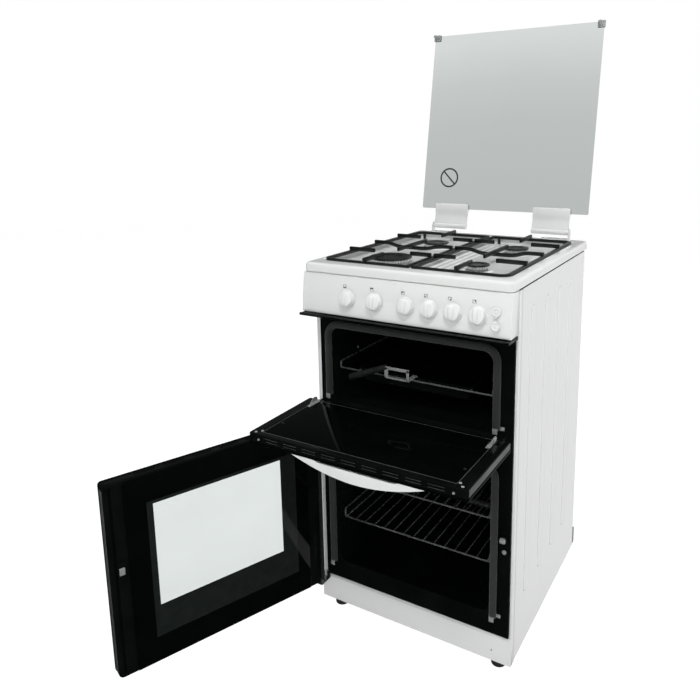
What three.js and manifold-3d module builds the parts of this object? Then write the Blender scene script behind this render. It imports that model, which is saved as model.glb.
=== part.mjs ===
// Freestanding gas range with two ovens, a four-burner hob and a glass lid.
// Millimetres, +Z up. Cabinet coordinates: x = 0 on the cabinet's centre line,
// y = 0 just behind the front frame (negative y is in front), z = 0 on the floor.
// The whole part is then shifted so that the origin is at the bottom centre of its box.
import * as THREE from "three";
import { mergeVertices } from "three/addons/utils/BufferGeometryUtils.js";
import Module from "manifold-3d";

const wasm = await Module();
wasm.setup();

// ---------------------------------------------------------------- dimensions
const GAP = 0.3; // clearance between neighbouring pieces
const SHEET = 1.2; // cabinet sheet steel
const HALF_W = 250; // half width of the range
const TOP_Z = 900; // height of the worktop
const SIDE_Y0 = 3, SIDE_Y1 = 520, SIDE_Z0 = 24, SIDE_Z1 = 876; // side panels
const SIDE_X = 248.4; // outer skin of the side panel between its ribs
const RIB_YS = [95, 197, 299, 401], RIB_W = 40, RIB_Z0 = 150, RIB_Z1 = 828;
const WORKTOP_Y0 = -40, WORKTOP_Y1 = 545, WORKTOP_LIP = 20.5;
const WELL_X0 = -234, WELL_X1 = 223, WELL_Y0 = 3, WELL_Y1 = 509, WELL_Z = 881.5, WELL_R = 22;
const HOB_X = -5; // middle of the well and its pan supports
const BURNERS = [["fl", -116.5, 128, 52, 60], ["fr", 106, 128, 28, 37], ["rl", -114, 374, 35, 45], ["rr", 111, 374, 32, 42]]; // name, x, y, cap radius, seat radius
const SUPPORT_Z = 912.5; // top of the pan supports' fingers
const PANEL_TOP = [-40, 878.5], PANEL_BOT = [-50.5, 787]; // control panel face (y, z)
const KNOB_XS = [-127, -57.8, 18.6, 72.6, 126.8, 180.3], KNOB_Z = 829;
const FRAME_Y0 = -1.5, FRAME_Y1 = 0, FRAME_X0 = -236, FRAME_X1 = 243;
const FRAME_Z0 = 91, FRAME_Z1 = 776;
const CAV_DEPTH = 430; // depth of both ovens
const TOP_CAV = { x: 199, z0: 564, z1: 752, r: 24 };
const MAIN_CAV = { x: 198, z0: 140, z1: 506, r: 24 };
const GASKET_R = 8, GASKET_X = 208.5, GASKET_Y = -10.1;
const PLINTH_Z1 = 90;
const MAIN_PIVOT = [-243, -34.5], MAIN_OPEN = 111.8; // main door hinge (x, y) and open angle
const MD = { x: 249, z0: 84, z1: 518, yOut: -50, yIn: -25 }; // main door, closed
const TOP_PIVOT = [-38, 558]; // top door hinge (y, z)
const TD = { x: 250, y0: -255, y1: -34, z0: 549, z1: 571 }; // top door, open
const PULL_X = 14, PULL_L = 152, PULL_DROP = 29.2, PULL_DEPTH = 24; // the doors' bow-shaped pulls
const LID_PIVOT = [540, 918], LID_LEAN = 10.2; // lid hinge (y, z), lean behind vertical
const LID_W = 245, LID_U0 = 51, LID_U1 = 561, LID_N0 = 5, LID_N1 = 9;
const SHELF_ZS = { upper: 358, lower: 252 };
const FOOT_H = 24, FOOT_R = 17;
// box centre of the part as it stands, so that the origin is its bottom centre
const CENTRE_X = -95, CENTRE_Y = 78.6;

// ------------------------------------------------------------------- helpers
function solid(geometry) {
  const g = geometry.index ? geometry.toNonIndexed() : geometry.clone();
  g.deleteAttribute("normal");
  g.deleteAttribute("uv");
  const m = mergeVertices(g, 1e-4);
  const p = m.attributes.position.array, src = m.index.array, tris = [];
  for (let i = 0; i < src.length; i += 3) {
    const [a, b, c] = [src[i], src[i + 1], src[i + 2]];
    if (a !== b && b !== c && a !== c) tris.push(a, b, c);
  }
  let v = 0;
  for (let i = 0; i < tris.length; i += 3) {
    const [a, b, c] = [tris[i] * 3, tris[i + 1] * 3, tris[i + 2] * 3];
    v += p[a] * (p[b + 1] * p[c + 2] - p[b + 2] * p[c + 1]) - p[a + 1] * (p[b] * p[c + 2] - p[b + 2] * p[c]) + p[a + 2] * (p[b] * p[c + 1] - p[b + 1] * p[c]);
  }
  if (v < 0) for (let i = 0; i < tris.length; i += 3) [tris[i + 1], tris[i + 2]] = [tris[i + 2], tris[i + 1]];
  return new wasm.Manifold(new wasm.Mesh({ numProp: 3, vertProperties: p, triVerts: new Uint32Array(tris) }));
}
const join = (...s) => s.flat().reduce((a, b) => a.add(b));
const cut = (a, ...s) => s.flat().reduce((x, y) => x.subtract(y), a);
function box(x0, x1, y0, y1, z0, z1) {
  return solid(new THREE.BoxGeometry(x1 - x0, y1 - y0, z1 - z0).translate((x0 + x1) / 2, (y0 + y1) / 2, (z0 + z1) / 2));
}
// a box mirrored to the side s (+1 right, -1 left), given for the right side
const sideBox = (s, x0, x1, ...rest) => (s > 0 ? box(x0, x1, ...rest) : box(-x1, -x0, ...rest));
function roundRect(x0, y0, x1, y1, r) {
  const [a, b, c, d] = Array.isArray(r) ? r : [r, r, r, r]; // lower left, lower right, upper right, upper left
  const s = new THREE.Shape();
  s.moveTo(x0 + a, y0);
  s.lineTo(x1 - b, y0);
  if (b) s.absarc(x1 - b, y0 + b, b, -Math.PI / 2, 0, false);
  s.lineTo(x1, y1 - c);
  if (c) s.absarc(x1 - c, y1 - c, c, 0, Math.PI / 2, false);
  s.lineTo(x0 + d, y1);
  if (d) s.absarc(x0 + d, y1 - d, d, Math.PI / 2, Math.PI, false);
  s.lineTo(x0, y0 + a);
  if (a) s.absarc(x0 + a, y0 + a, a, Math.PI, Math.PI * 1.5, false);
  return s;
}
const poly = (pts) => new THREE.Shape(pts.map((p) => new THREE.Vector2(p[0], p[1])));
const flat = (shape, depth, seg = 4, opts = {}) => new THREE.ExtrudeGeometry(shape, { depth, bevelEnabled: false, curveSegments: seg, ...opts });
// outline in (x, y), between two heights
const prismZ = (shape, z0, z1, seg) => solid(flat(shape, z1 - z0, seg).translate(0, 0, z0));
// outline in (x, z), between two depths
const prismY = (shape, y0, y1, seg) => solid(flat(shape, y1 - y0, seg).rotateX(Math.PI / 2).translate(0, y1, 0));
// outline in (y, z), between two x
const TO_X = new THREE.Matrix4().makeBasis(new THREE.Vector3(0, 1, 0), new THREE.Vector3(0, 0, 1), new THREE.Vector3(1, 0, 0));
const prismX = (shape, x0, x1, seg) => solid(flat(shape, x1 - x0, seg).applyMatrix4(TO_X).translate(x0, 0, 0));
// a slab with rounded edges, outline in (x, y)
function pillow(x0, y0, x1, y1, r, z0, z1, bevel, seg = 2, bevelSegments = 2) {
  const s = roundRect(x0 + bevel, y0 + bevel, x1 - bevel, y1 - bevel, Math.max(0.5, r - bevel));
  return solid(new THREE.ExtrudeGeometry(s, { depth: z1 - z0 - 2 * bevel, bevelEnabled: true, bevelThickness: bevel, bevelSize: bevel, bevelSegments, curveSegments: seg }).translate(0, 0, z0 + bevel));
}
// a turned piece about the vertical axis, profile in (radius, height)
function turned(points, seg = 24) {
  return solid(new THREE.LatheGeometry(points.map((p) => new THREE.Vector2(Math.max(p[0], 0), p[1])), seg).rotateX(Math.PI / 2));
}
function rod(a, b, r, seg = 8, r2 = r) {
  const A = new THREE.Vector3(...a), B = new THREE.Vector3(...b), d = B.clone().sub(A);
  const q = new THREE.Quaternion().setFromUnitVectors(new THREE.Vector3(0, 1, 0), d.clone().normalize());
  const mid = A.clone().add(B).multiplyScalar(0.5);
  return solid(new THREE.CylinderGeometry(r2, r, d.length(), seg).applyQuaternion(q).translate(mid.x, mid.y, mid.z));
}
function disc(r, seg = 12) {
  const s = new THREE.Shape();
  s.absarc(0, 0, r, 0, Math.PI * 2, false);
  return { s, seg };
}
// a round tube along a path of points with rounded corners of radius r
function tube(points, rBend, r, seg = 10, bendSteps = 5) {
  const V = points.map((p) => new THREE.Vector3(...p));
  const path = new THREE.CurvePath();
  let last = V[0];
  for (let i = 1; i < V.length - 1; i++) {
    const a = V[i - 1].clone().sub(V[i]).normalize(), b = V[i + 1].clone().sub(V[i]).normalize();
    const p = V[i].clone().addScaledVector(a, rBend), q = V[i].clone().addScaledVector(b, rBend);
    path.add(new THREE.LineCurve3(last, p));
    path.add(new THREE.QuadraticBezierCurve3(p, V[i], q));
    last = q;
  }
  path.add(new THREE.LineCurve3(last, V[V.length - 1]));
  // stations: the ends of each straight and a few points along each bend
  const stations = [];
  path.curves.forEach((c, i) => {
    const n = c.isLineCurve3 ? 1 : bendSteps;
    for (let k = i === 0 ? 0 : 1; k <= n; k++) stations.push(c.getPoint(k / n));
  });
  return tubeThrough(stations, r, seg);
}
function tubeThrough(stations, r, seg) {
  const spine = new (class extends THREE.Curve {
    getPoint(t, out = new THREE.Vector3()) {
      const f = t * (stations.length - 1), i = Math.min(stations.length - 2, Math.floor(f));
      return out.copy(stations[i]).lerp(stations[i + 1], f - i);
    }
    getPointAt(t, out) { return this.getPoint(t, out); }
    getTangentAt(t, out) { return this.getTangent(t, out); }
    getTangent(t, out = new THREE.Vector3()) {
      const f = t * (stations.length - 1), i = Math.round(f);
      const a = stations[Math.max(0, i - 1)], b = stations[i], c = stations[Math.min(stations.length - 1, i + 1)];
      out.set(0, 0, 0);
      if (a !== b) out.add(b.clone().sub(a).normalize());
      if (c !== b) out.add(c.clone().sub(b).normalize());
      return out.normalize();
    }
  })();
  const { s } = disc(r);
  return solid(new THREE.ExtrudeGeometry(s, { steps: stations.length - 1, extrudePath: spine, curveSegments: seg / 2, bevelEnabled: false }));
}

const root = new THREE.Group();
const parts = new THREE.Group();
parts.position.set(-CENTRE_X, -CENTRE_Y, 0);
root.add(parts);

const LOOK = {
  white: { color: 0xe9ecea, roughness: 0.22, metalness: 0 },
  plastic: { color: 0xeceeed, roughness: 0.38, metalness: 0 },
  black: { color: 0x0d0f0f, roughness: 0.28, metalness: 0 },
  blackMatt: { color: 0x151716, roughness: 0.6, metalness: 0 },
  enamel: { color: 0x111312, roughness: 0.35, metalness: 0 },
  rubber: { color: 0x2b2e2d, roughness: 0.85, metalness: 0 },
  steel: { color: 0xb9bcbb, roughness: 0.35, metalness: 1 },
  chrome: { color: 0xd8dad9, roughness: 0.12, metalness: 1 },
  alu: { color: 0xb4b6b5, roughness: 0.45, metalness: 1 },
  brass: { color: 0xb89a5a, roughness: 0.35, metalness: 1 },
  glass: { color: 0xb9c0be, roughness: 0.05, metalness: 0, transparent: true, opacity: 0.55 },
  darkGlass: { color: 0x08090a, roughness: 0.05, metalness: 0 },
  bumper: { color: 0x9ba19f, roughness: 0.4, metalness: 0 },
};
function add(name, m, look, parent = parts) {
  const mesh0 = m.getMesh(), n = mesh0.numProp, v = new Float32Array(mesh0.numVert * 3);
  for (let i = 0; i < mesh0.numVert; i++) v.set(mesh0.vertProperties.subarray(i * n, i * n + 3), i * 3);
  const g = new THREE.BufferGeometry();
  g.setAttribute("position", new THREE.BufferAttribute(v, 3));
  g.setIndex(new THREE.BufferAttribute(new Uint32Array(mesh0.triVerts), 1));
  g.computeVertexNormals();
  const mesh = new THREE.Mesh(g, new THREE.MeshStandardMaterial(LOOK[look]));
  mesh.name = name;
  parent.add(mesh);
  return mesh;
}

// -------------------------------------------------------------- side panels
function sidePanel(lip) {
  const skin = SIDE_X, web = [
    box(skin - SHEET, skin, SIDE_Y0, SIDE_Y1, SIDE_Z0, SIDE_Z1),
    box(skin - lip, skin, SIDE_Y0, SIDE_Y0 + SHEET, SIDE_Z0, SIDE_Z1),
    box(skin - 16, skin, SIDE_Y1 - SHEET, SIDE_Y1, SIDE_Z0, SIDE_Z1),
    box(skin - 0.4, skin + 1, SIDE_Y0, SIDE_Y0 + 17, SIDE_Z0, SIDE_Z1),
  ];
  const h = RIB_W / 2, inset = 3.5, t = 1.0;
  const outer = RIB_YS.map((y) => {
    const shape = roundRect(y - h + inset, RIB_Z0 + inset, y + h - inset, RIB_Z1 - inset, h - inset - 0.01);
    return solid(new THREE.ExtrudeGeometry(shape, { depth: 0.2, bevelEnabled: true, bevelThickness: t, bevelSize: inset, bevelSegments: 1, curveSegments: 2 }).applyMatrix4(TO_X).translate(skin + 1.6 - 0.2 - t, 0, 0));
  });
  const inner = RIB_YS.map((y) => prismX(roundRect(y - h + 4, RIB_Z0 + 4, y + h - 4, RIB_Z1 - 4, h - 4.01), skin - 6, skin + 0.5, 1));
  return cut(join(web, outer), inner);
}
add("side_panel_right", sidePanel(5), "white");
// the left panel is the same pressing turned over, with a wider front flange
{
  const m = sidePanel(12.4).getMesh(), g = new THREE.BufferGeometry();
  g.setAttribute("position", new THREE.BufferAttribute(m.vertProperties.map((v, i) => (i % 3 ? v : -v)), 3));
  g.setIndex(new THREE.BufferAttribute(m.triVerts, 1));
  add("side_panel_left", solid(g), "white");
}

// ---------------------------------------------------------------- back panel
{
  const sheet = box(-240, 240, 517.2, 518.4, 70, 868);
  const raised = cut(box(-170, 170, 518, 528, 140, 640), box(-168.8, 168.8, 510, 526.8, 141.2, 638.8));
  const channel = cut(join(box(-231, 231, 517.2, 522, 24.5, 71), box(-248, 248, 520.4, 537, 24.5, 69)), box(-229.5, 229.5, 518.8, 523, 20, 69.8), box(-246.5, 246.5, 521.6, 535.8, 20, 67.8));
  const hole = box(-168.8, 168.8, 516, 519, 141.2, 638.8);
  const louvres = [];
  for (let r = 0; r < 3; r++) for (let i = 0; i < 5; i++) louvres.push(box(-150 + i * 62, -102 + i * 62, 515, 520, 690 + r * 26, 697 + r * 26));
  for (let i = 0; i < 5; i++) louvres.push(box(-150 + i * 62, -102 + i * 62, 525, 530, 590, 597));
  const inlet = rod([214, 515, 831], [214, 520, 831], 11, 12);
  add("back_panel", cut(join(sheet, raised, channel), hole, louvres, inlet), "steel");
}

// ------------------------------------------------------ base pan and plinth
{
  const pan = join(box(-246, 246, 10, 514, 24.3, 25.5), box(-246, -244.8, 10, 514, 24.3, 60), box(244.8, 246, 10, 514, 24.3, 60), box(-246, 246, 512.8, 514, 24.3, 60));
  const beads = [150, 262, 374].map((y) => box(-200, 200, y, y + 14, 25, 29));
  const hollow = [150, 262, 374].map((y) => box(-198.8, 198.8, y + 1.2, y + 12.8, 20, 27.8));
  add("base_pan", cut(join(pan, beads), hollow), "steel");
  // front toe panel: a face, a sloping top edge and a return to the frame
  const outer = poly([[-3, 24], [9.4, 24], [9.4, 90.6], [1.5, 90.6], [1.5, 89.6], [-3, 85]]);
  const face = prismX(outer, -HALF_W, HALF_W);
  const inner = prismX(poly([[-1.6, 20], [12, 20], [12, 89.2], [2.2, 89.2], [-1.6, 84.4]]), -HALF_W + 1.4, HALF_W - 1.4);
  const clear = [box(-260, -235.6, 1.7, 12, 20, 100), box(235.6, 260, 1.7, 12, 20, 100)];
  add("plinth", cut(face, inner, clear, rod([205, -8, 50], [205, 0, 50], 2.2, 8)), "white");
}

// -------------------------------------------------------------- front frame
{
  const plate = prismY(roundRect(FRAME_X0, FRAME_Z0 + 0.2, FRAME_X1, FRAME_Z1, 2), FRAME_Y0, FRAME_Y1, 2);
  const c = TOP_CAV, m = MAIN_CAV;
  const openings = [
    prismY(roundRect(-c.x, c.z0, c.x, c.z1, [6, 6, c.r, c.r]), -5, 5, 3),
    prismY(roundRect(-m.x, m.z0, m.x, m.z1, [m.r, m.r, m.r, m.r]), -5, 5, 3),
  ];
  // lugs of the top door's hinges, and brackets and pins of the main door's
  const lugs = [-1, 1].map((s) => sideBox(s, 226, 230, -45, -1, 550.5, 565.5));
  const px = MAIN_PIVOT[0], py = MAIN_PIVOT[1];
  const brackets = [
    box(px - 5, px + 17, -41, -1, MD.z1 + 0.8, MD.z1 + 2.8), rod([px, py, MD.z1 + 1.5], [px, py, MD.z1 - 9], 3, 10),
    box(px - 5, px + 17, -41, -4.6, MD.z0 - 2.8, MD.z0 - 0.8), box(px + 7, px + 17, -6.4, -4.6, MD.z0 - 2.8, FRAME_Z0 + 8), box(px + 7, px + 17, -6.4, -1, FRAME_Z0 + 2, FRAME_Z0 + 8), rod([px, py, MD.z0 - 1.5], [px, py, MD.z0 + 9], 3, 10),
  ];
  add("front_frame", join(cut(plate, openings), lugs, brackets), "black");
}

// ------------------------------------------------------------- oven liners
function liner(c, ridges, rLow) {
  const r = [rLow, rLow, c.r, c.r];
  const box0 = prismY(roundRect(-c.x - SHEET, c.z0 - SHEET, c.x + SHEET, c.z1 + SHEET, r.map((v) => v + SHEET)), 1, CAV_DEPTH + SHEET, 3);
  const flange = prismY(roundRect(-c.x - 13, c.z0 - 10, c.x + 13, c.z1 + 10, 8), 0.3, 1.5, 3);
  const room = prismY(roundRect(-c.x, c.z0, c.x, c.z1, r), -5, CAV_DEPTH, 3);
  const runs = ridges.flatMap((z) => [-1, 1].map((s) => sideBox(s, c.x - 5.5, c.x + 0.6, 18, CAV_DEPTH - 20, z - 5, z)));
  return join(cut(join(box0, flange), room), runs);
}
add("top_oven_liner", liner(TOP_CAV, [650.8], 6), "enamel");
add("main_oven_liner", liner(MAIN_CAV, [SHELF_ZS.lower + 14.6, SHELF_ZS.lower + 66, SHELF_ZS.upper + 14.6, SHELF_ZS.upper + 66], 24), "enamel");

// ----------------------------------------------- door seals, open at the foot
function seal(c, zLow) {
  const zTop = c.z1 + 1;
  return tube([[-GASKET_X, GASKET_Y, zLow], [-GASKET_X, GASKET_Y, zTop], [GASKET_X, GASKET_Y, zTop], [GASKET_X, GASKET_Y, zLow]], 30, GASKET_R, 10, 4);
}
add("top_oven_gasket", seal(TOP_CAV, 577), "rubber");
add("main_oven_gasket", seal({ z1: 495 }, 138), "rubber");

// -------------------------------------------------------------------- hob top
{
  const lip = cut(pillow(-HALF_W, WORKTOP_Y0, HALF_W, WORKTOP_Y1, 14, 860, TOP_Z, 7, 2, 3), box(-300, 300, -100, 600, 850, TOP_Z - WORKTOP_LIP));
  const under = pillow(-HALF_W + 1.5, WORKTOP_Y0 + 1.5, HALF_W - 1.5, WORKTOP_Y1 - 1.5, 12.5, 850, TOP_Z - 1.5, 7, 1, 1);
  const wellOut = prismZ(roundRect(WELL_X0 - 1.5, WELL_Y0 - 1.5, WELL_X1 + 1.5, WELL_Y1 + 1.5, WELL_R + 1.5), WELL_Z - 1.5, TOP_Z - 1, 2);
  const well = prismZ(roundRect(WELL_X0, WELL_Y0, WELL_X1, WELL_Y1, WELL_R), WELL_Z, TOP_Z + 5, 3);
  const steps = [
    pillow(HOB_X - 46, 44, HOB_X + 46, 462, 16, WELL_Z - 4, WELL_Z + 2.4, 2, 2, 1),
    pillow(HOB_X - 33, 54, HOB_X + 33, 452, 12, WELL_Z - 4, WELL_Z + 4.8, 2, 2, 1),
    pillow(HOB_X - 20, 64, HOB_X + 20, 442, 8, WELL_Z - 4, WELL_Z + 7.2, 2, 2, 1),
  ];
  const seats = BURNERS.map(([, x, y, , r]) => turned([[0, -1], [r, -1], [r, 0], [r - 5, 2], [0, 2]], 18).translate([x, y, WELL_Z]));
  const below = [
    pillow(HOB_X - 44.8, 45.2, HOB_X + 44.8, 460.8, 15, WELL_Z - 12, WELL_Z + 1.0, 2, 2, 1),
    pillow(HOB_X - 31.8, 55.2, HOB_X + 31.8, 450.8, 11, WELL_Z - 12, WELL_Z + 3.4, 2, 2, 1),
  ];
  add("hob_top", cut(join(cut(join(cut(lip, under), wellOut), well), cut(join(steps), below), seats), below), "white");
}

// -------------------------------------------------------------- pan supports
function panSupport(s) {
  const X = (a, b) => (s > 0 ? [a, b] : [-b, -a]);
  const [ox0, ox1] = X(3, 226), [ix0, ix1] = X(11, 218);
  const f0 = SUPPORT_Z - 17, f1 = SUPPORT_Z - 9;
  const ringOut = roundRect(ox0, 8, ox1, 504, s > 0 ? [6, 20, 20, 6] : [20, 6, 6, 20]);
  const frame = cut(prismZ(ringOut, f0, f1, 4), prismZ(roundRect(ix0, 16, ix1, 496, s > 0 ? [2, 12, 12, 2] : [12, 2, 2, 12]), f0 - 9, f1 + 9, 4));
  const w = 3.3, z1 = SUPPORT_Z, z0 = z1 - 10, bars = [];
  for (const y of [128, 374]) {
    bars.push(sideBox(s, 155, 227, y - w, y + w, z0, z1), sideBox(s, 0.4, 58, y - w, y + w, z0, z1));
  }
  for (const [a, b] of [[4, 92], [166, 322], [418, 508]]) bars.push(sideBox(s, 112 - w, 112 + w, a, b, z0, z1));
  const dip = [[226, z1], [180, z1], [166, z1 - 2.6], [152, z1 - 9], [74, z1 - 9], [60, z1 - 2.6], [46, z1], [0.4, z1], [0.4, z1 - 9.5], [43, z1 - 9.5], [56, z1 - 12], [70, z1 - 18], [156, z1 - 18], [170, z1 - 12], [183, z1 - 9.5], [226, z1 - 9.5]].map(([x, z]) => [s * x, z]);
  bars.push(prismY(poly(dip), 244.9, 251.5));
  for (const [x, y] of [[24, 12], [206, 12], [24, 500], [206, 500]]) bars.push(sideBox(s, x - 4, x + 4, y - 4, y + 4, WELL_Z + GAP, f0 + 1));
  return join(frame, bars).translate([HOB_X, 0, 0]);
}
add("pan_support_left", panSupport(-1), "blackMatt");
add("pan_support_right", panSupport(1), "blackMatt");

// -------------------------------------------------------------------- burners
for (const [id, x, y, R] of BURNERS) {
  const z = WELL_Z + 2 + GAP, c = R - 6;
  const crown = turned([[0, 0], [c - 4, 0], [c - 2, 1.5], [c, 2.5], [c, 7.5], [c - 3, 9], [0, 9]], 16).translate([x, y, z]);
  add("burner_crown_" + id, crown, "alu");
  const cap = turned([[0, 0], [R - 2, 0], [R, 1.2], [R, 2.6], [R - 2.5, 3.8], [R - 8, 4.4], [R - 10, 3.6], [0, 3.6]], 16).translate([x, y, z + 9 + GAP]);
  add("burner_cap_" + id, cap, "blackMatt");
}

// -------------------------------------------------------------- control panel
const dz = PANEL_TOP[1] - PANEL_BOT[1], dy = PANEL_TOP[0] - PANEL_BOT[0];
const TILT = Math.atan2(dy, dz); // backward lean of the panel's face
const faceY = (z) => PANEL_BOT[0] + (dy * (z - PANEL_BOT[1])) / dz;
{
  const bulge = (z) => faceY(z) - 1.6 * Math.sin((Math.PI * (z - PANEL_BOT[1])) / dz);
  const front = [790.5, 805, 820, 832, 845, 860, 874].map((z) => [bulge(z), z]);
  const outer = poly([[-10, 786.5], [PANEL_BOT[0] + 3, 787], [PANEL_BOT[0] + 0.5, 788.2], ...front, [PANEL_TOP[0] + 2.5, 878.5], [-6, 878.5], [-6, 860], [-10, 800]]);
  const inner = poly([[-5, 789], [PANEL_BOT[0] + 5, 789.5], ...front.slice(1, -1).map(([y, z]) => [y + 2.4, z]), [PANEL_TOP[0] + 4.6, 873], [PANEL_TOP[0] + 4.6, 876.3], [-5, 876.3]]);
  const shell = cut(prismX(outer, -HALF_W, HALF_W), prismX(inner, -HALF_W + 2.2, HALF_W - 2.2));
  const holes = KNOB_XS.map((x) => rod([x, -30, KNOB_Z - 30 * 0.0 + (-faceY(KNOB_Z) - 30) * -Math.tan(TILT)], [x, -60, KNOB_Z + (60 + faceY(KNOB_Z)) * Math.tan(TILT)], 6.2, 10));
  const bh = [839.5, 812].map((z) => rod([219.5, -30, z + (-faceY(z) - 30) * -Math.tan(TILT)], [219.5, -60, z + (60 + faceY(z)) * Math.tan(TILT)], 7.3, 12));
  add("control_panel", cut(shell, holes, bh), "plastic");
  const trim = poly([[-62, 786.2], [-63, 785.2], [-63, 781.4], [-61, 780], [-8, 777.6], [-8, 779], [-57, 781.4], [-57, 786.2]]);
  const deck = poly([[-57.5, 783.6], [-8, 783.6], [-8, 785.2], [-57.5, 785.2]]);
  add("control_panel_trim", join(prismX(trim, -HALF_W, HALF_W), prismX(deck, -HALF_W, HALF_W)), "black");
}

// -------------------------------------------------------------------- knobs
KNOB_XS.forEach((x, i) => {
  const g = new THREE.Group();
  g.position.set(x, faceY(KNOB_Z) - 1.6, KNOB_Z);
  g.rotation.x = -TILT;
  parts.add(g);
  // local -y points out of the panel
  const dial = turned([[0, 0], [19.5, 0], [20.4, 2], [18.4, 5.4], [17.6, 11.4], [15.2, 14.4], [0, 15.4]], 14);
  const bow = [];
  for (let k = 0; k <= 5; k++) {
    const a = (k / 5) * Math.PI;
    bow.push([15 * Math.cos(a), 10 + 8.6 * Math.sin(a) ** 0.62]);
  }
  const grip = solid(new THREE.ExtrudeGeometry(poly([[15, 7], ...bow, [-15, 7]].filter((p, j, all) => !j || Math.hypot(p[0] - all[j - 1][0], p[1] - all[j - 1][1]) > 0.05)), { depth: 6, bevelEnabled: true, bevelThickness: 2.2, bevelSize: 1.6, bevelSegments: 1 }).rotateX(Math.PI / 2).rotateZ(Math.PI / 2).translate(-3, 0, 0));
  const stem = rod([0, 0, 1], [0, 0, -11], 4.6, 10);
  const whole = join(dial, grip, stem);
  const mesh = add("knob_" + (i + 1), whole, "plastic", g);
  mesh.rotation.x = Math.PI / 2; // the turned axis lies along the panel's outward normal
  mesh.position.y = -GAP - 0.4;
});

// ------------------------------------------------------------------ buttons
[839.5, 812].forEach((z, i) => {
  const g = new THREE.Group();
  g.position.set(219.5, faceY(z) - 1.6, z);
  g.rotation.x = -TILT;
  parts.add(g);
  const b = turned([[0, -12], [6.4, -12], [6.4, 3.6], [9.4, 3.9], [9.6, 6], [8.4, 8], [5, 8.2], [4.4, 7.2], [0, 7]], 14);
  const mesh = add("button_" + (i + 1), b, "plastic", g);
  mesh.rotation.x = Math.PI / 2;
});

// ------------------------------------------------------------- gas manifold
{
  const rail = rod([-205, 14, 831], [214, 14, 831], 7, 6);
  const elbow = rod([214, 14, 831], [214, 548, 831], 7, 8);
  const corner = solid(new THREE.SphereGeometry(8, 8, 6).translate(214, 14, 831));
  const nut = rod([214, 520.6, 831], [214, 536, 831], 12.5, 6);
  const taps = KNOB_XS.flatMap((x) => [
    box(x - 10, x + 10, -12, 20, 820, 842),
    box(x - 3, x + 3, -32.5, -8, KNOB_Z - 2.5, KNOB_Z + 3.5),
    box(x - 3, x + 3, 4, 12, 838, 850),
  ]);
  add("gas_manifold", cut(join(rail, elbow, corner, nut, taps), rod([214, 500, 831], [214, 560, 831], 4.6, 8)), "alu");
}

// ------------------------------------------------- grill and oven burners
{
  const plate = cut(join(box(-115, 115, 110, 350, 741, 745), box(-108, 108, 117, 343, 744, 751.6)), Array.from({ length: 6 }, (_, i) => box(-95 + i * 36, -81 + i * 36, 130, 330, 738, 743)));
  add("grill_burner", join(plate, rod([0, 348, 747], [0, 429, 747], 4, 8)), "alu");
  const tubeB = rod([-150, 392, 153], [150, 392, 153], 9, 12);
  const feed = rod([0, 392, 153], [0, 429.4, 153], 6, 10);
  const ends = [-1, 1].map((s) => sideBox(s, 120, 126, 386, 398, 140.6, 150));
  add("oven_burner", cut(join(tubeB, feed, ends), Array.from({ length: 6 }, (_, i) => box(-132 + i * 44, -112 + i * 44, 380, 385.5, 152, 154))), "alu");
}

// --------------------------------------------------------------------- feet
for (const [id, x, y] of [["front_left", -212, 26], ["front_right", 212, 26], ["rear_left", -212, 488], ["rear_right", 212, 488]]) {
  const foot = turned([[0, 0], [FOOT_R - 1.5, 0], [FOOT_R, 1.5], [FOOT_R, 8], [FOOT_R - 3, 12], [8, 14], [8, FOOT_H], [0, FOOT_H]], 16).translate([x, y, 0]);
  add("foot_" + id, foot, "rubber");
}

// --------------------------------------------------------------- door catch
{
  const plate = box(220, 240, -3.3, -1.8, 288, 350);
  const arms = [box(222.5, 224.5, -16, -3, 326, 340), box(235, 237, -16, -3, 326, 340)];
  const roller = rod([223, -15, 333], [236.5, -15, 333], 6, 12);
  const stud = rod([230, -3, 300], [230, -8, 300], 5, 8);
  add("door_catch", join(plate, arms, roller, stud), "chrome");
}

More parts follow.
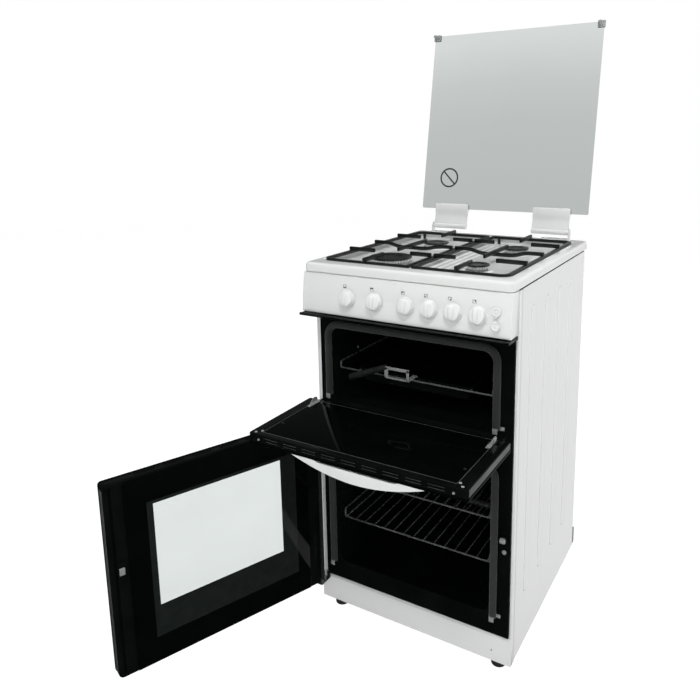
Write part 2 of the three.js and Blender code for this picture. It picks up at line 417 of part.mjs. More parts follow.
// ------------------------------------------------------------------ glass lid
const lid = new THREE.Group();
lid.position.set(0, LID_PIVOT[0], LID_PIVOT[1]);
lid.rotation.x = (-LID_LEAN * Math.PI) / 180;
parts.add(lid);
{
  // local: z along the pane from the hinge, y through the pane
  const pane = prismY(roundRect(-LID_W, LID_U0, LID_W, LID_U1, [4, 4, 7, 7]), LID_N0, LID_N1, 3);
  add("lid_glass", pane, "glass", lid);
  for (const [id, s] of [["left", -1], ["right", 1]]) {
    const profile = poly([[-2.5, 4], [0.4, 20], [1.8, 30], [0.6, 38], [-0.6, 43], [-1.6, 47], [-2.4, 62], [-0.6, 65.5], [LID_N0 - GAP, 65.5], [LID_N0 - GAP, LID_U0 - GAP], [LID_N1 + GAP, LID_U0 - GAP], [LID_N1 + GAP, 63], [LID_N1 + 2.2, 62], [LID_N1 + 2.2, 47], [8.5, 42], [5.4, 30], [4.2, 18], [3.2, 4]]);
    const plate = s > 0 ? prismX(profile, 96.5, 198.5) : prismX(profile, -198.5, -96.5);
    const barrel = s > 0 ? rod([96.5, 0, 0], [198.5, 0, 0], 6.6, 16) : rod([-198.5, 0, 0], [-96.5, 0, 0], 6.6, 16);
    const bore = s > 0 ? rod([170, 0, 0], [205, 0, 0], 3.4, 10) : rod([-205, 0, 0], [-170, 0, 0], 3.4, 10);
    add("lid_hinge_cover_" + id, cut(join(plate, barrel), bore), "plastic", lid);
    // corner bumper wraps the pane's free corner and stands off its inner side
    const X0 = LID_W - 17, clip = cut(
      sideBox(s, X0, LID_W + 2.6, LID_N0 - 2.6, LID_N1 + 2.6, LID_U1 - 15, LID_U1 + 2.6),
      sideBox(s, X0 - 5, LID_W + GAP, LID_N0 - GAP, LID_N1 + GAP, LID_U1 - 25, LID_U1 + GAP));
    const leg = s > 0 ? rod([LID_W - 7, LID_N0 - 2, LID_U1 - 6], [LID_W - 7, -17.2, LID_U1 - 6], 5.5, 12, 4.6) : rod([-LID_W + 7, LID_N0 - 2, LID_U1 - 6], [-LID_W + 7, -17.2, LID_U1 - 6], 5.5, 12, 4.6);
    add("lid_bumper_" + id, join(clip, leg), "bumper", lid);
    // bracket on the worktop's rear deck, with the pin that carries the barrel
    const P = LID_PIVOT;
    const ear = s > 0 ? prismX(poly([[P[0] - 13, 900.5], [P[0] + 4.5, 900.5], [P[0] + 7, 915], [P[0] + 7, 922], [P[0] + 3, 928], [P[0] - 3, 928], [P[0] - 7, 922], [P[0] - 8, 908]]), 199.2, 203) : prismX(poly([[P[0] - 13, 900.5], [P[0] + 4.5, 900.5], [P[0] + 7, 915], [P[0] + 7, 922], [P[0] + 3, 928], [P[0] - 3, 928], [P[0] - 7, 922], [P[0] - 8, 908]]), -203, -199.2);
    const base = sideBox(s, 128, 203, P[0] - 17, P[0] + 3, TOP_Z + GAP, TOP_Z + 3);
    const pin = s > 0 ? rod([200, P[0], P[1]], [172, P[0], P[1]], 3, 10) : rod([-200, P[0], P[1]], [-172, P[0], P[1]], 3, 10);
    const screws = [140, 182].map((x) => turned([[0, 0], [4, 0], [3.4, 2], [0, 2.6]], 10).translate([s * x, P[0] - 8, TOP_Z + 2.6]));
    add("lid_bracket_" + id, join(ear, base, pin, screws), "white");
  }
}

// ------------------------------------------------------------------ handles
// a hollow bow-shaped pull in (x, out from the face): a front plate of thickness t and a band behind it, open to the back
function pull(t) {
  const N = 16, curve = (inset) => {
    const pts = [];
    for (let i = 0; i <= N; i++) {
      const x = -PULL_L + (2 * PULL_L * i) / N, u = Math.abs(x / PULL_L);
      const slope = ((PULL_DROP * 1.9) / PULL_L) * u ** 0.9;
      pts.push([x, PULL_DROP * (1 - u ** 1.9) - inset * Math.sqrt(1 + slope * slope)]);
    }
    return pts;
  };
  const outer = curve(0).filter((p) => p[1] > 0.15), inner = curve(5).filter((p) => p[1] > 0.6);
  const body = prismZ(poly([[-PULL_L + 0.5, 0], ...outer, [PULL_L - 0.5, 0]].reverse()), 0, PULL_DEPTH);
  const a = inner[0][0], b = inner[inner.length - 1][0];
  const hollow = prismZ(poly([[a - 3, -3], [a - 1.5, 0.2], ...inner, [b + 1.5, 0.2], [b + 3, -3]].reverse()), t, 40);
  const slot = prismZ(poly([[-98, -3], [-96, 0.5], [-88, 3.4], [-78, 4.4], [78, 4.4], [88, 3.4], [96, 0.5], [98, -3]].reverse()), -5, t + 1);
  return cut(body, hollow, slot);
}

// ----------------------------------------------------------------- top door
{
  const { x, y0, y1, z0, z1 } = TD;
  const outerGlass = prismZ(roundRect(-x, y0, x, y1, [7, 7, 3, 3]), z0, z0 + 4, 4);
  const f0 = z0 + 4 + GAP;
  const body = pillow(-x + 1, y0 + 1, x - 1, y1, 6, f0 - 6, z1, 1.2, 1, 1);
  const trimmed = cut(body, box(-300, 300, -300, 0, f0 - 20, f0));
  const cavity = box(-x + 3, x - 3, y0 + 3, y1 - 1.6, f0 - 10, z1 - 5);
  const pocket = prismZ(roundRect(-223, y0 + 15, 223, y1 - 9, 3), z1 - 4 - GAP, z1 + 5, 3);
  const sight = box(-200, 200, y0 + 34, y1 - 30, z1 - 20, z1 + 5);
  const notches = [-1, 1].map((s) => sideBox(s, 224.6, 231.4, -62, y1 + 5, z0 - 5, z1 + 5));
  const slots = [];
  for (let i = 0; i < 9; i++) {
    const cx = -188 + i * 47;
    for (const dz2 of [0, 6]) slots.push(box(cx - 17, cx + 17, y0 - 5, y0 + 6, f0 + 3.4 + dz2, f0 + 6 + dz2));
  }
  add("top_door_frame", cut(trimmed, cavity, pocket, sight, notches, slots), "black");
  // outer glass has the same hinge notches
  add("top_door_outer_glass", cut(outerGlass, notches), "darkGlass");
  add("top_door_inner_glass", prismZ(roundRect(-222.6, y0 + 15.4, 222.6, y1 - 9.4, 3), z1 - 4, z1, 3), "darkGlass");
  // hanging below the outer face, its plate along the free edge
  add("top_door_handle", pull(5).rotate([-90, 0, 0]).translate([PULL_X, y0 + 1, z0 - GAP]), "plastic");
}

// ---------------------------------------------------------------- main door
const mainDoor = new THREE.Group();
mainDoor.position.set(MAIN_PIVOT[0], MAIN_PIVOT[1], 0);
mainDoor.rotation.z = (-MAIN_OPEN * Math.PI) / 180;
parts.add(mainDoor);
{
  const T = ([px, py] = MAIN_PIVOT) => [-px, -py, 0];
  const put = (name, m, look) => add(name, m.translate(T()), look, mainDoor);
  const { x, z0, z1, yOut, yIn } = MD;
  put("main_door_outer_glass", prismY(roundRect(-x, z0, x, z1, 7), yOut, yOut + 4, 4), "darkGlass");
  const f0 = yOut + 4 + GAP;
  const body = prismY(roundRect(-x + 1, z0 + 1, x - 1, z1 - 1, 5), f0, yIn, 3);
  const cavity = box(-x + 2.6, x - 2.6, f0 - 5, yIn - 1.6, z0 + 2.6, z1 - 2.6);
  const sight = prismY(roundRect(-205, 118, 188, 486, 6), -40, -10, 2);
  const groove = box(232, 237.5, yIn - 5, yIn + 5, z0 + 9, z1 - 9);
  const pins = [rod([MAIN_PIVOT[0], MAIN_PIVOT[1], z0 - 5], [MAIN_PIVOT[0], MAIN_PIVOT[1], z0 + 12], 3.5, 10), rod([MAIN_PIVOT[0], MAIN_PIVOT[1], z1 - 12], [MAIN_PIVOT[0], MAIN_PIVOT[1], z1 + 5], 3.5, 10)];
  const slots = [];
  for (let i = 0; i < 6; i++) for (const d of [0, 6.5]) {
    const cx = -150 + i * 62;
    slots.push(box(cx - 22, cx + 22, f0 + 4 + d, f0 + 7 + d, z1 - 6, z1 + 5));
  }
  put("main_door_frame", cut(body, cavity, sight, groove, pins, slots), "black");
  put("main_door_inner_glass", prismY(roundRect(-214.5, z0 + 4, 209.5, z1 - 8, 2), yIn + GAP, yIn + GAP + 4, 2), "darkGlass");
  put("main_door_handle", pull(4).rotate([180, 0, 0]).translate([PULL_X, yOut - GAP, z1 - 16]), "plastic");
  put("main_door_latch", join(prismY(roundRect(212, 312, 230.5, 344, 2), yIn + GAP, yIn + GAP + 1.2, 2), box(215, 228, yIn + GAP, yIn + 3.4, 322, 334)), "chrome");
}

// ------------------------------------------------------------ oven shelves
// a dropped wire shelf: side rails ride on the liner's runners, the deck hangs below them
function wireShelf(zc, railX, deckX, y0, y1, rise, nWires, r = 2.2) {
  const bar = (x0, x1, ya, yb, z) => box(x0, x1, ya, yb, z - r, z + r);
  const rails = [-1, 1].map((s) => sideBox(s, railX - r, railX + r, y0, y1, zc + rise - r, zc + rise + r));
  const ends = [-1, 1].flatMap((s) => [y0 + 1, y1 - 1 - 2 * r].map((y) => sideBox(s, railX - 5.1, railX - 0.9, y, y + 2 * r, zc - r, zc + rise)));
  const frame = [bar(-railX + 1, railX - 1, y0, y0 + 2 * r, zc), bar(-railX + 1, railX - 1, y1 - 2 * r, y1, zc)];
  const wires = [];
  for (let i = 0; i <= nWires + 1; i++) {
    const x = -deckX + (2 * deckX * i) / (nWires + 1), w = i === 0 || i === nWires + 1 ? 1.8 : 1.2;
    wires.push(box(x - w, x + w, y0 + r, y1 - r, zc - 0.2, zc + 2 * w - 0.4));
  }
  return join(rails, ends, frame, wires);
}
add("oven_shelf_upper", wireShelf(SHELF_ZS.upper, 193, 185, 14, 404, 17.4, 13), "chrome");
add("oven_shelf_lower", wireShelf(SHELF_ZS.lower, 193, 185, 14, 404, 17.4, 13), "chrome");

// -------------------------------------------------------- grill shelf and pan
{
  const zc = 641, rise = 12.6, r = 2.2, y0 = 12, y1 = 396;
  const rails = [-1, 1].map((s) => sideBox(s, 192.6, 197, y0, y1, zc + rise - r, zc + rise + r));
  const ends = [-1, 1].flatMap((s) => [y0, y1 - 2 * r].map((y) => sideBox(s, 188.8, 193.1, y, y + 2 * r, zc - r, zc + rise)));
  const cross = [y0, y1 - 2 * r].map((y) => box(-193, 193, y, y + 2 * r, zc - r, zc + r));
  const beds = [-1, 1].map((s) => sideBox(s, 139 - r, 139 + r, y0 + r, y1 - r, zc - r + 0.2, zc + r - 0.2));
  add("grill_shelf", join(rails, ends, cross, beds), "chrome");
  const rim = prismZ(roundRect(-146, 19, 146, 350, 12), zc + r + GAP, zc + r + 1.8, 4);
  const bowl = prismZ(roundRect(-134, 20, 134, 342, 10), 616, zc + r + 1, 4);
  const room = prismZ(roundRect(-132.8, 21.2, 132.8, 340.8, 9), 617.2, 660, 4);
  add("grill_pan", cut(join(rim, bowl), room), "enamel");
  const yk = -8;
  const grip = rod([-152, yk, 630], [-52, yk, 671], 8.2, 12, 6.8);
  const clasp = [
    box(-54, 6, yk - 5, yk - 3.4, 664, 674), box(-54, 6, yk - 5, yk - 3.4, 646.2, 651), box(-2, 6, yk - 5, yk - 3.4, 648, 672), box(-56, -46, yk - 5, yk - 3.4, 648, 672),
    box(-6, 6, yk - 5, 30, 646.2, 647.6), box(-6, 6, 28.6, 30, 636, 647.6),
  ];
  add("grill_pan_handle", join(grip, clasp), "blackMatt");
}

export default root;
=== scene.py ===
"""Looks of the freestanding gas range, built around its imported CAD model.
Helpers work in cabinet millimetres: x = 0 on the centre line, y = 0 at the front frame, z = 0 on the floor."""
import math

import bmesh
import bpy
from mathutils import Matrix, Vector
from mathutils.geometry import tessellate_polygon


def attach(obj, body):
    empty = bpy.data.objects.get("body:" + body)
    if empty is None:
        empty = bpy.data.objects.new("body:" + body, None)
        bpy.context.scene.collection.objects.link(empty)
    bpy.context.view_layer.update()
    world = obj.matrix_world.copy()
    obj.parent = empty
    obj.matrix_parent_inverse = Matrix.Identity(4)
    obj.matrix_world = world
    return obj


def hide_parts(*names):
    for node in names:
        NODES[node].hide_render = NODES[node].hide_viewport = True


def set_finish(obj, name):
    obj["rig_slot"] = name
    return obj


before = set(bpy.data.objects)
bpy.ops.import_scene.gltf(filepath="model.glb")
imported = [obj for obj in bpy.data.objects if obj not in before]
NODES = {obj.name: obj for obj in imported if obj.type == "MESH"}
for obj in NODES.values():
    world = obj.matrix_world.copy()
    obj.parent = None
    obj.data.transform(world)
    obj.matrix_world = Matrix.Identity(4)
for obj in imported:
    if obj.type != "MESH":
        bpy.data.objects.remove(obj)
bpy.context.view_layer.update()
SCENE = bpy.context.scene
SCENE.view_settings.view_transform = "Standard"

# ------------------------------------------------------------------ dimensions
OX, OY = 95.0, -78.6  # cabinet millimetres to the row frame
TO_ROW = Matrix.Translation((OX / 1000, OY / 1000, 0)) @ Matrix.Scale(0.001, 4)
LID_M = Matrix.Translation((0, 540, 918)) @ Matrix.Rotation(math.radians(-10.2), 4, "X")
MAIN_ANGLE = -111.8
DOOR_M = Matrix.Translation((-243, -34.5, 0)) @ Matrix.Rotation(math.radians(MAIN_ANGLE), 4, "Z") @ Matrix.Translation((243, 34.5, 0))
TILT = math.atan2(10.5, 91.5)


def face_y(z):
    return -50.5 + 10.5 * (z - 787) / 91.5


KNOB_XS = [-127, -57.8, 18.6, 72.6, 126.8, 180.3]
KNOB_Z = 829


# -------------------------------------------------------------------- geometry
class Shape:
    """A mesh under construction, in cabinet millimetres."""

    def __init__(self):
        self.v, self.f = [], []

    def ring(self, pts):
        start = len(self.v)
        self.v += [tuple(p) for p in pts]
        return list(range(start, start + len(pts)))

    def strip(self, a, b, closed=True):
        n = len(a)
        for i in range(n if closed else n - 1):
            j = (i + 1) % n
            self.f.append((a[i], a[j], b[j], b[i]))

    def loft(self, rings, closed=True, start=False, end=False, loop=False):
        idx = [self.ring(r) for r in rings]
        for a, b in zip(idx, idx[1:]):
            self.strip(a, b, closed)
        if loop:
            self.strip(idx[-1], idx[0], closed)
        if start:
            self.f.append(tuple(reversed(idx[0])))
        if end:
            self.f.append(tuple(idx[-1]))
        return self

    def fill(self, loops, up):
        """A flat face with holes, between closed loops of points; up is the way it faces."""
        pts = [Vector(p) for l in loops for p in l]
        tris = tessellate_polygon([[Vector(p) for p in l] for l in loops])
        base = len(self.v)
        self.v += [tuple(p) for p in pts]
        up = Vector(up)
        for a, b, c in tris:
            n = (pts[b] - pts[a]).cross(pts[c] - pts[a])
            if n.length < 1e-9:
                continue
            self.f.append((base + a, base + b, base + c) if n.dot(up) > 0 else (base + a, base + c, base + b))
        return self

    def join(self, *others):
        for o in others:
            base = len(self.v)
            self.v += list(o.v)
            self.f += [tuple(i + base for i in f) for f in o.f]
        return self

    def moved(self, m):
        out = Shape()
        out.v = [tuple(m @ Vector(p)) for p in self.v]
        out.f = list(self.f) if m.determinant() > 0 else [tuple(reversed(f)) for f in self.f]
        return out

    def at(self, x=0, y=0, z=0):
        return self.moved(Matrix.Translation((x, y, z)))

    def mirrored(self):
        return self.moved(Matrix.Scale(-1, 4, (1, 0, 0)))


def rrect(x0, y0, x1, y1, r, n=6):
    """Rounded rectangle outline, anticlockwise, as (x, y) pairs."""
    rs = r if isinstance(r, (list, tuple)) else [r] * 4
    out = []
    for (cx, cy, a0), q in zip(
        [(x0, y0, math.pi), (x1, y0, 1.5 * math.pi), (x1, y1, 0), (x0, y1, 0.5 * math.pi)], rs
    ):
        q = max(q, 0.01)
        sx, sy = (1 if cx == x0 else -1), (1 if cy == y0 else -1)
        for k in range(n + 1):
            a = a0 + 0.5 * math.pi * k / n
            out.append((cx + sx * q + q * math.cos(a), cy + sy * q + q * math.sin(a)))
    return out


def circle(cx, cy, r, n=48):
    return [(cx + r * math.cos(2 * math.pi * k / n), cy + r * math.sin(2 * math.pi * k / n)) for k in range(n)]


def xy(pts, z):
    return [(x, y, z) for x, y in pts]


def xz(pts, y):
    return [(x, y, z) for x, z in pts]


def yz(pts, x):
    return [(x, y, z) for y, z in pts]


def lathe(profile, n=48, m=None, wave=None):
    """A turned piece about z, from (radius, height) pairs running from the axis to the axis; wave(i, angle) may change a ring's radius."""
    s = Shape()
    rings = []
    for i, (r, z) in enumerate(profile):
        if r < 1e-6:
            rings.append([len(s.v)])
            s.v.append((0, 0, z))
        else:
            pts = []
            for k in range(n):
                a = 2 * math.pi * k / n
                q = r + (wave(i, a, k) if wave else 0)
                pts.append((q * math.cos(a), q * math.sin(a), z))
            rings.append(s.ring(pts))
    for a, b in zip(rings, rings[1:]):
        if len(a) == 1 and len(b) == 1:
            continue
        if len(a) == 1:
            s.f += [(a[0], b[(k + 1) % n], b[k]) for k in range(n)]
        elif len(b) == 1:
            s.f += [(a[k], a[(k + 1) % n], b[0]) for k in range(n)]
        else:
            s.strip(a, b)
    return s.moved(m) if m is not None else s


def torus_profile(r, R, z, n=10, a0=0, a1=360):
    return [(R + r * math.cos(math.radians(a0 + (a1 - a0) * k / n)), z + r * math.sin(math.radians(a0 + (a1 - a0) * k / n))) for k in range(n + 1)]


def block(x0, x1, y0, y1, z0, z1):
    s = Shape()
    s.v = [(x, y, z) for z in (z0, z1) for y in (y0, y1) for x in (x0, x1)]
    s.f = [(0, 2, 3, 1), (4, 5, 7, 6), (0, 1, 5, 4), (2, 6, 7, 3), (0, 4, 6, 2), (1, 3, 7, 5)]
    return s


def extrude(pts, fn, a, b):
    """A closed outline carried from a to b by fn(pts, value)."""
    s = Shape()
    i, j = s.ring(fn(pts, a)), s.ring(fn(pts, b))
    s.strip(i, j)
    s.f += [tuple(reversed(i)), tuple(j)]
    return s


def fillet(points, r, n=6, closed=False):
    """A path of points with its corners rounded to about radius r."""
    P = [Vector(p) for p in points]
    out = []
    N = len(P)
    for i, p in enumerate(P):
        if not closed and i in (0, N - 1):
            out.append(p)
            continue
        a, b = (P[i - 1] - p), (P[(i + 1) % N] - p)
        q = min(r, a.length * 0.49, b.length * 0.49)
        s, e = p + a.normalized() * q, p + b.normalized() * q
        for k in range(n + 1):
            t = k / n
            out.append(s * (1 - t) ** 2 + p * 2 * t * (1 - t) + e * t * t)
    return out


def sweep(path, section, closed=False, up=None, taper=0.0, ends=True):
    """A tube: section is a list of (u, w) about the path, u across and w along up."""
    P = [Vector(p) for p in path]
    N = len(P)
    s = Shape()
    tangents = []
    for i in range(N):
        a = P[i - 1] if (closed or i) else P[i]
        b = P[(i + 1) % N] if (closed or i < N - 1) else P[i]
        d = (P[i] - a).normalized() + (b - P[i]).normalized() if (P[i] - a).length > 1e-9 and (b - P[i]).length > 1e-9 else (b - a)
        tangents.append(d.normalized())
    if up is None:
        t = tangents[0]
        ref = Vector((0, 0, 1)) if abs(t.z) < 0.9 else Vector((0, 1, 0))
        n = (ref - t * ref.dot(t)).normalized()
        normals = [n]
        for i in range(1, N):
            n = normals[-1]
            t = tangents[i]
            n = (n - t * n.dot(t)).normalized()
            normals.append(n)
    else:
        normals = []
        for t in tangents:
            n = Vector(up)
            normals.append((n - t * n.dot(t)).normalized())
    rings = []
    for i in range(N):
        t, n = tangents[i], normals[i]
        side = t.cross(n)
        stretch = 1.0
        if (closed or 0 < i < N - 1):
            a = (P[i] - P[i - 1]).normalized()
            c = max(0.3, a.dot(t))
            stretch = min(1.6, 1 / c)
        rings.append([tuple(P[i] + side * (u * stretch) + n * w) for u, w in section])
    if not closed and taper > 0:
        for k, sign in ((0, -1), (-1, 1)):
            c = P[k]
            t = tangents[k]
            shrunk = [tuple(c + (Vector(p) - c) * (1 - taper / max(1e-6, max(math.hypot(u, w) for u, w in section)))) for p in rings[k]]
            inner = [tuple(Vector(p) - t * sign * taper) for p in rings[k]]
            if k == 0:
                rings = [shrunk, inner] + rings[1:]
            else:
                rings = rings[:-1] + [inner, shrunk]
    s.loft(rings, loop=closed, start=not closed and ends, end=not closed and ends)
    return s


def round_section(r, n=10):
    return [(r * math.cos(2 * math.pi * k / n), r * math.sin(2 * math.pi * k / n)) for k in range(n)]


def wire(path, r, n=8, bend=4, steps=4, closed=False):
    return sweep(fillet(path, bend, steps, closed) if bend else path, round_section(r, n), closed=closed, taper=0 if closed else r * 0.45)


# ------------------------------------------------------------------- materials
def _nodes(m):
    m.use_nodes = True
    t = m.node_tree
    t.nodes.clear()
    out = t.nodes.new("ShaderNodeOutputMaterial")
    b = t.nodes.new("ShaderNodeBsdfPrincipled")
    t.links.new(b.outputs[0], out.inputs[0])
    return t, b, out


def _noise(t, scale, detail=3, rough=0.5, coords=None, stretch=None):
    c = coords or t.nodes.new("ShaderNodeTexCoord").outputs["Object"]
    if stretch:
        mp = t.nodes.new("ShaderNodeMapping")
        mp.inputs["Scale"].default_value = stretch
        t.links.new(c, mp.inputs["Vector"])
        c = mp.outputs[0]
    n = t.nodes.new("ShaderNodeTexNoise")
    n.inputs["Scale"].default_value = scale
    n.inputs["Detail"].default_value = detail
    n.inputs["Roughness"].default_value = rough
    t.links.new(c, n.inputs["Vector"])
    return n.outputs["Fac"]


def _ramp(t, fac, stops):
    r = t.nodes.new("ShaderNodeValToRGB")
    e = r.color_ramp.elements
    while len(e) < len(stops):
        e.new(0.5)
    for el, (pos, col) in zip(e, stops):
        el.position = pos
        el.color = (*col, 1) if len(col) == 3 else col
    t.links.new(fac, r.inputs["Fac"])
    return r.outputs["Color"]


def _range(t, fac, lo, hi, a=0.3, b=0.7):
    r = t.nodes.new("ShaderNodeMapRange")
    r.inputs["From Min"].default_value = a
    r.inputs["From Max"].default_value = b
    r.inputs["To Min"].default_value = lo
    r.inputs["To Max"].default_value = hi
    t.links.new(fac, r.inputs["Value"])
    return r.outputs["Result"]


def _bump(t, bsdf, height, strength, distance, prev=None):
    b = t.nodes.new("ShaderNodeBump")
    b.inputs["Strength"].default_value = strength
    b.inputs["Distance"].default_value = distance
    t.links.new(height, b.inputs["Height"])
    if prev is not None:
        t.links.new(prev, b.inputs["Normal"])
    t.links.new(b.outputs[0], bsdf.inputs["Normal"])
    return b.outputs[0]


def shade(tones, vary=8, gloss=(0.2, 0.3), gloss_scale=30, metal=0.0, bumps=((300, 2, 0.05, 0.0003),), coat=0.0, coat_rough=0.05, spec=0.5, stretch=None, name=""):
    m = bpy.data.materials.new(name)
    t, b, _ = _nodes(m)
    base = _noise(t, vary, 4, 0.55, stretch=stretch)
    k = len(tones)
    t.links.new(_ramp(t, base, [(0.32 + 0.36 * i / max(1, k - 1), c) for i, c in enumerate(tones)]), b.inputs["Base Color"])
    t.links.new(_range(t, _noise(t, gloss_scale, 4, 0.6, stretch=stretch), *gloss), b.inputs["Roughness"])
    b.inputs["Metallic"].default_value = metal
    b.inputs["Specular IOR Level"].default_value = spec
    b.inputs["Coat Weight"].default_value = coat
    b.inputs["Coat Roughness"].default_value = coat_rough
    prev = None
    for scale, detail, strength, distance in bumps:
        prev = _bump(t, b, _noise(t, scale, detail, 0.5, stretch=stretch), strength, distance, prev)
    return m


def mix_white(*vals):
    return [(v, v * 1.012, v * 1.006) for v in vals]


M = {}
M["white_enamel"] = shade(mix_white(0.715, 0.73), 5, (0.15, 0.19), 25, bumps=((90, 2, 0.05, 0.0006), (420, 2, 0.05, 0.0002)), coat=0.35, name="white_enamel")
M["panel_plastic"] = shade(mix_white(0.735, 0.74), 6, (0.27, 0.29), 12, bumps=((60, 2, 0.015, 0.0003), (900, 2, 0.02, 0.0001)), coat=0.12, coat_rough=0.2, name="panel_enamel")
M["white_plastic"] = shade(mix_white(0.73, 0.765), 14, (0.27, 0.36), 60, bumps=((1400, 3, 0.05, 0.0001),), name="white_plastic")
M["black_enamel"] = shade([(0.0022, 0.003, 0.0028), (0.0045, 0.0056, 0.0052)], 12, (0.16, 0.24), 40, bumps=((120, 2, 0.05, 0.0004), (600, 2, 0.05, 0.0002)), spec=0.3, name="black_enamel")
M["frame_enamel"] = shade([(0.002, 0.0027, 0.0025), (0.004, 0.005, 0.0047)], 12, (0.16, 0.25), 40, bumps=((150, 2, 0.05, 0.0004),), spec=0.1, name="frame_enamel")
M["grate_enamel"] = shade([(0.004, 0.005, 0.0048), (0.01, 0.0115, 0.011)], 60, (0.3, 0.44), 120, bumps=((260, 3, 0.25, 0.0005), (1100, 3, 0.2, 0.0002)), name="grate_enamel")
M["cap_enamel"] = shade([(0.006, 0.007, 0.0068), (0.014, 0.0155, 0.015)], 90, (0.3, 0.42), 160, bumps=((700, 3, 0.25, 0.0002),), name="cap_enamel")
M["burner_aluminium"] = shade([(0.62, 0.63, 0.625), (0.78, 0.79, 0.785)], 70, (0.22, 0.34), 90, metal=0.85, bumps=((800, 4, 0.3, 0.0002),), name="burner_aluminium")
M["bright_chrome"] = shade([(0.68, 0.69, 0.69), (0.82, 0.83, 0.83)], 50, (0.16, 0.28), 80, metal=0.7, bumps=((500, 2, 0.06, 0.0002),), name="bright_chrome")
M["shelf_chrome"] = shade([(0.38, 0.39, 0.39), (0.56, 0.57, 0.57)], 60, (0.22, 0.36), 90, metal=0.85, bumps=((600, 2, 0.1, 0.0002),), name="shelf_chrome")
M["tap_aluminium"] = shade([(0.45, 0.45, 0.45), (0.58, 0.58, 0.58)], 60, (0.35, 0.5), 90, metal=0.9, bumps=((600, 4, 0.4, 0.0003),), name="tap_aluminium")
M["foot_plastic"] = shade([(0.016, 0.017, 0.017), (0.028, 0.03, 0.03)], 60, (0.5, 0.65), 90, bumps=((1200, 3, 0.3, 0.0002),), name="foot_plastic")
M["grip_plastic"] = shade([(0.008, 0.009, 0.009), (0.02, 0.021, 0.021)], 60, (0.35, 0.5), 90, bumps=((1000, 3, 0.2, 0.0002),), name="grip_plastic")
M["ink"] = shade([(0.035, 0.038, 0.038), (0.06, 0.064, 0.063)], 300, (0.45, 0.6), 300, bumps=((1500, 2, 0.1, 0.0001),), name="ink")
M["steel_screw"] = shade([(0.3, 0.31, 0.31), (0.5, 0.51, 0.51)], 200, (0.25, 0.4), 300, metal=1.0, bumps=((1500, 2, 0.15, 0.0001),), name="steel_screw")


def cavity_material():
    """Vitreous enamel of the ovens: near black, with fine pale flecks under a glossy skin."""
    m = bpy.data.materials.new("cavity_enamel")
    t, b, _ = _nodes(m)
    c = t.nodes.new("ShaderNodeTexCoord").outputs["Object"]
    v = t.nodes.new("ShaderNodeTexVoronoi")
    v.inputs["Scale"].default_value = 420
    t.links.new(c, v.inputs["Vector"])
    fleck = _ramp(t, v.outputs["Distance"], [(0.02, (0.035, 0.038, 0.037)), (0.11, (0.0035, 0.0045, 0.0042))])
    base = _ramp(t, _noise(t, 9, 3, coords=c), [(0.3, (0.55, 0.55, 0.55)), (0.7, (1, 1, 1))])
    mx = t.nodes.new("ShaderNodeMix")
    mx.data_type = "RGBA"
    mx.blend_type = "MULTIPLY"
    mx.inputs[0].default_value = 1.0
    t.links.new(fleck, mx.inputs[6])
    t.links.new(base, mx.inputs[7])
    t.links.new(mx.outputs[2], b.inputs["Base Color"])
    t.links.new(_range(t, _noise(t, 22, 4, coords=c), 0.24, 0.36), b.inputs["Roughness"])
    b.inputs["Specular IOR Level"].default_value = 0.35
    _bump(t, b, _noise(t, 140, 2, coords=c), 0.12, 0.0006)
    return m


M["cavity_enamel"] = cavity_material()


def seal_material():
    """Woven glass-fibre sleeve: two families of fine threads crossing."""
    m = bpy.data.materials.new("door_seal")
    t, b, _ = _nodes(m)
    c = t.nodes.new("ShaderNodeTexCoord").outputs["Object"]
    waves = []
    for d in ((1, 0.4, 1), (1, -0.4, -1)):
        mp = t.nodes.new("ShaderNodeMapping")
        mp.inputs["Scale"].default_value = d
        t.links.new(c, mp.inputs["Vector"])
        w = t.nodes.new("ShaderNodeTexWave")
        w.wave_type = "BANDS"
        w.bands_direction = "DIAGONAL"
        w.inputs["Scale"].default_value = 170
        w.inputs["Distortion"].default_value = 1.2
        w.inputs["Detail"].default_value = 1
        t.links.new(mp.outputs[0], w.inputs["Vector"])
        waves.append(w.outputs["Fac"])
    mx = t.nodes.new("ShaderNodeMath")
    mx.operation = "MAXIMUM"
    t.links.new(waves[0], mx.inputs[0])
    t.links.new(waves[1], mx.inputs[1])
    t.links.new(_ramp(t, mx.outputs[0], [(0.35, (0.008, 0.0095, 0.009)), (1, (0.034, 0.038, 0.036))]), b.inputs["Base Color"])
    t.links.new(_range(t, mx.outputs[0], 0.85, 0.6, 0, 1), b.inputs["Roughness"])
    b.inputs["Sheen Weight"].default_value = 0.15
    _bump(t, b, mx.outputs[0], 0.5, 0.0006)
    return m


M["door_seal"] = seal_material()


def galvanised_material():
    """Zinc spangle: flat crystals of slightly different grey."""
    m = bpy.data.materials.new("galvanised")
    t, b, _ = _nodes(m)
    c = t.nodes.new("ShaderNodeTexCoord").outputs["Object"]
    v = t.nodes.new("ShaderNodeTexVoronoi")
    v.inputs["Scale"].default_value = 90
    t.links.new(c, v.inputs["Vector"])
    t.links.new(_ramp(t, v.outputs["Color"], [(0.1, (0.36, 0.375, 0.38)), (0.9, (0.55, 0.565, 0.57))]), b.inputs["Base Color"])
    t.links.new(_range(t, v.outputs["Color"], 0.34, 0.52, 0, 1), b.inputs["Roughness"])
    b.inputs["Metallic"].default_value = 0.85
    _bump(t, b, _noise(t, 500, 3, coords=c), 0.15, 0.0002)
    return m


M["galvanised"] = galvanised_material()


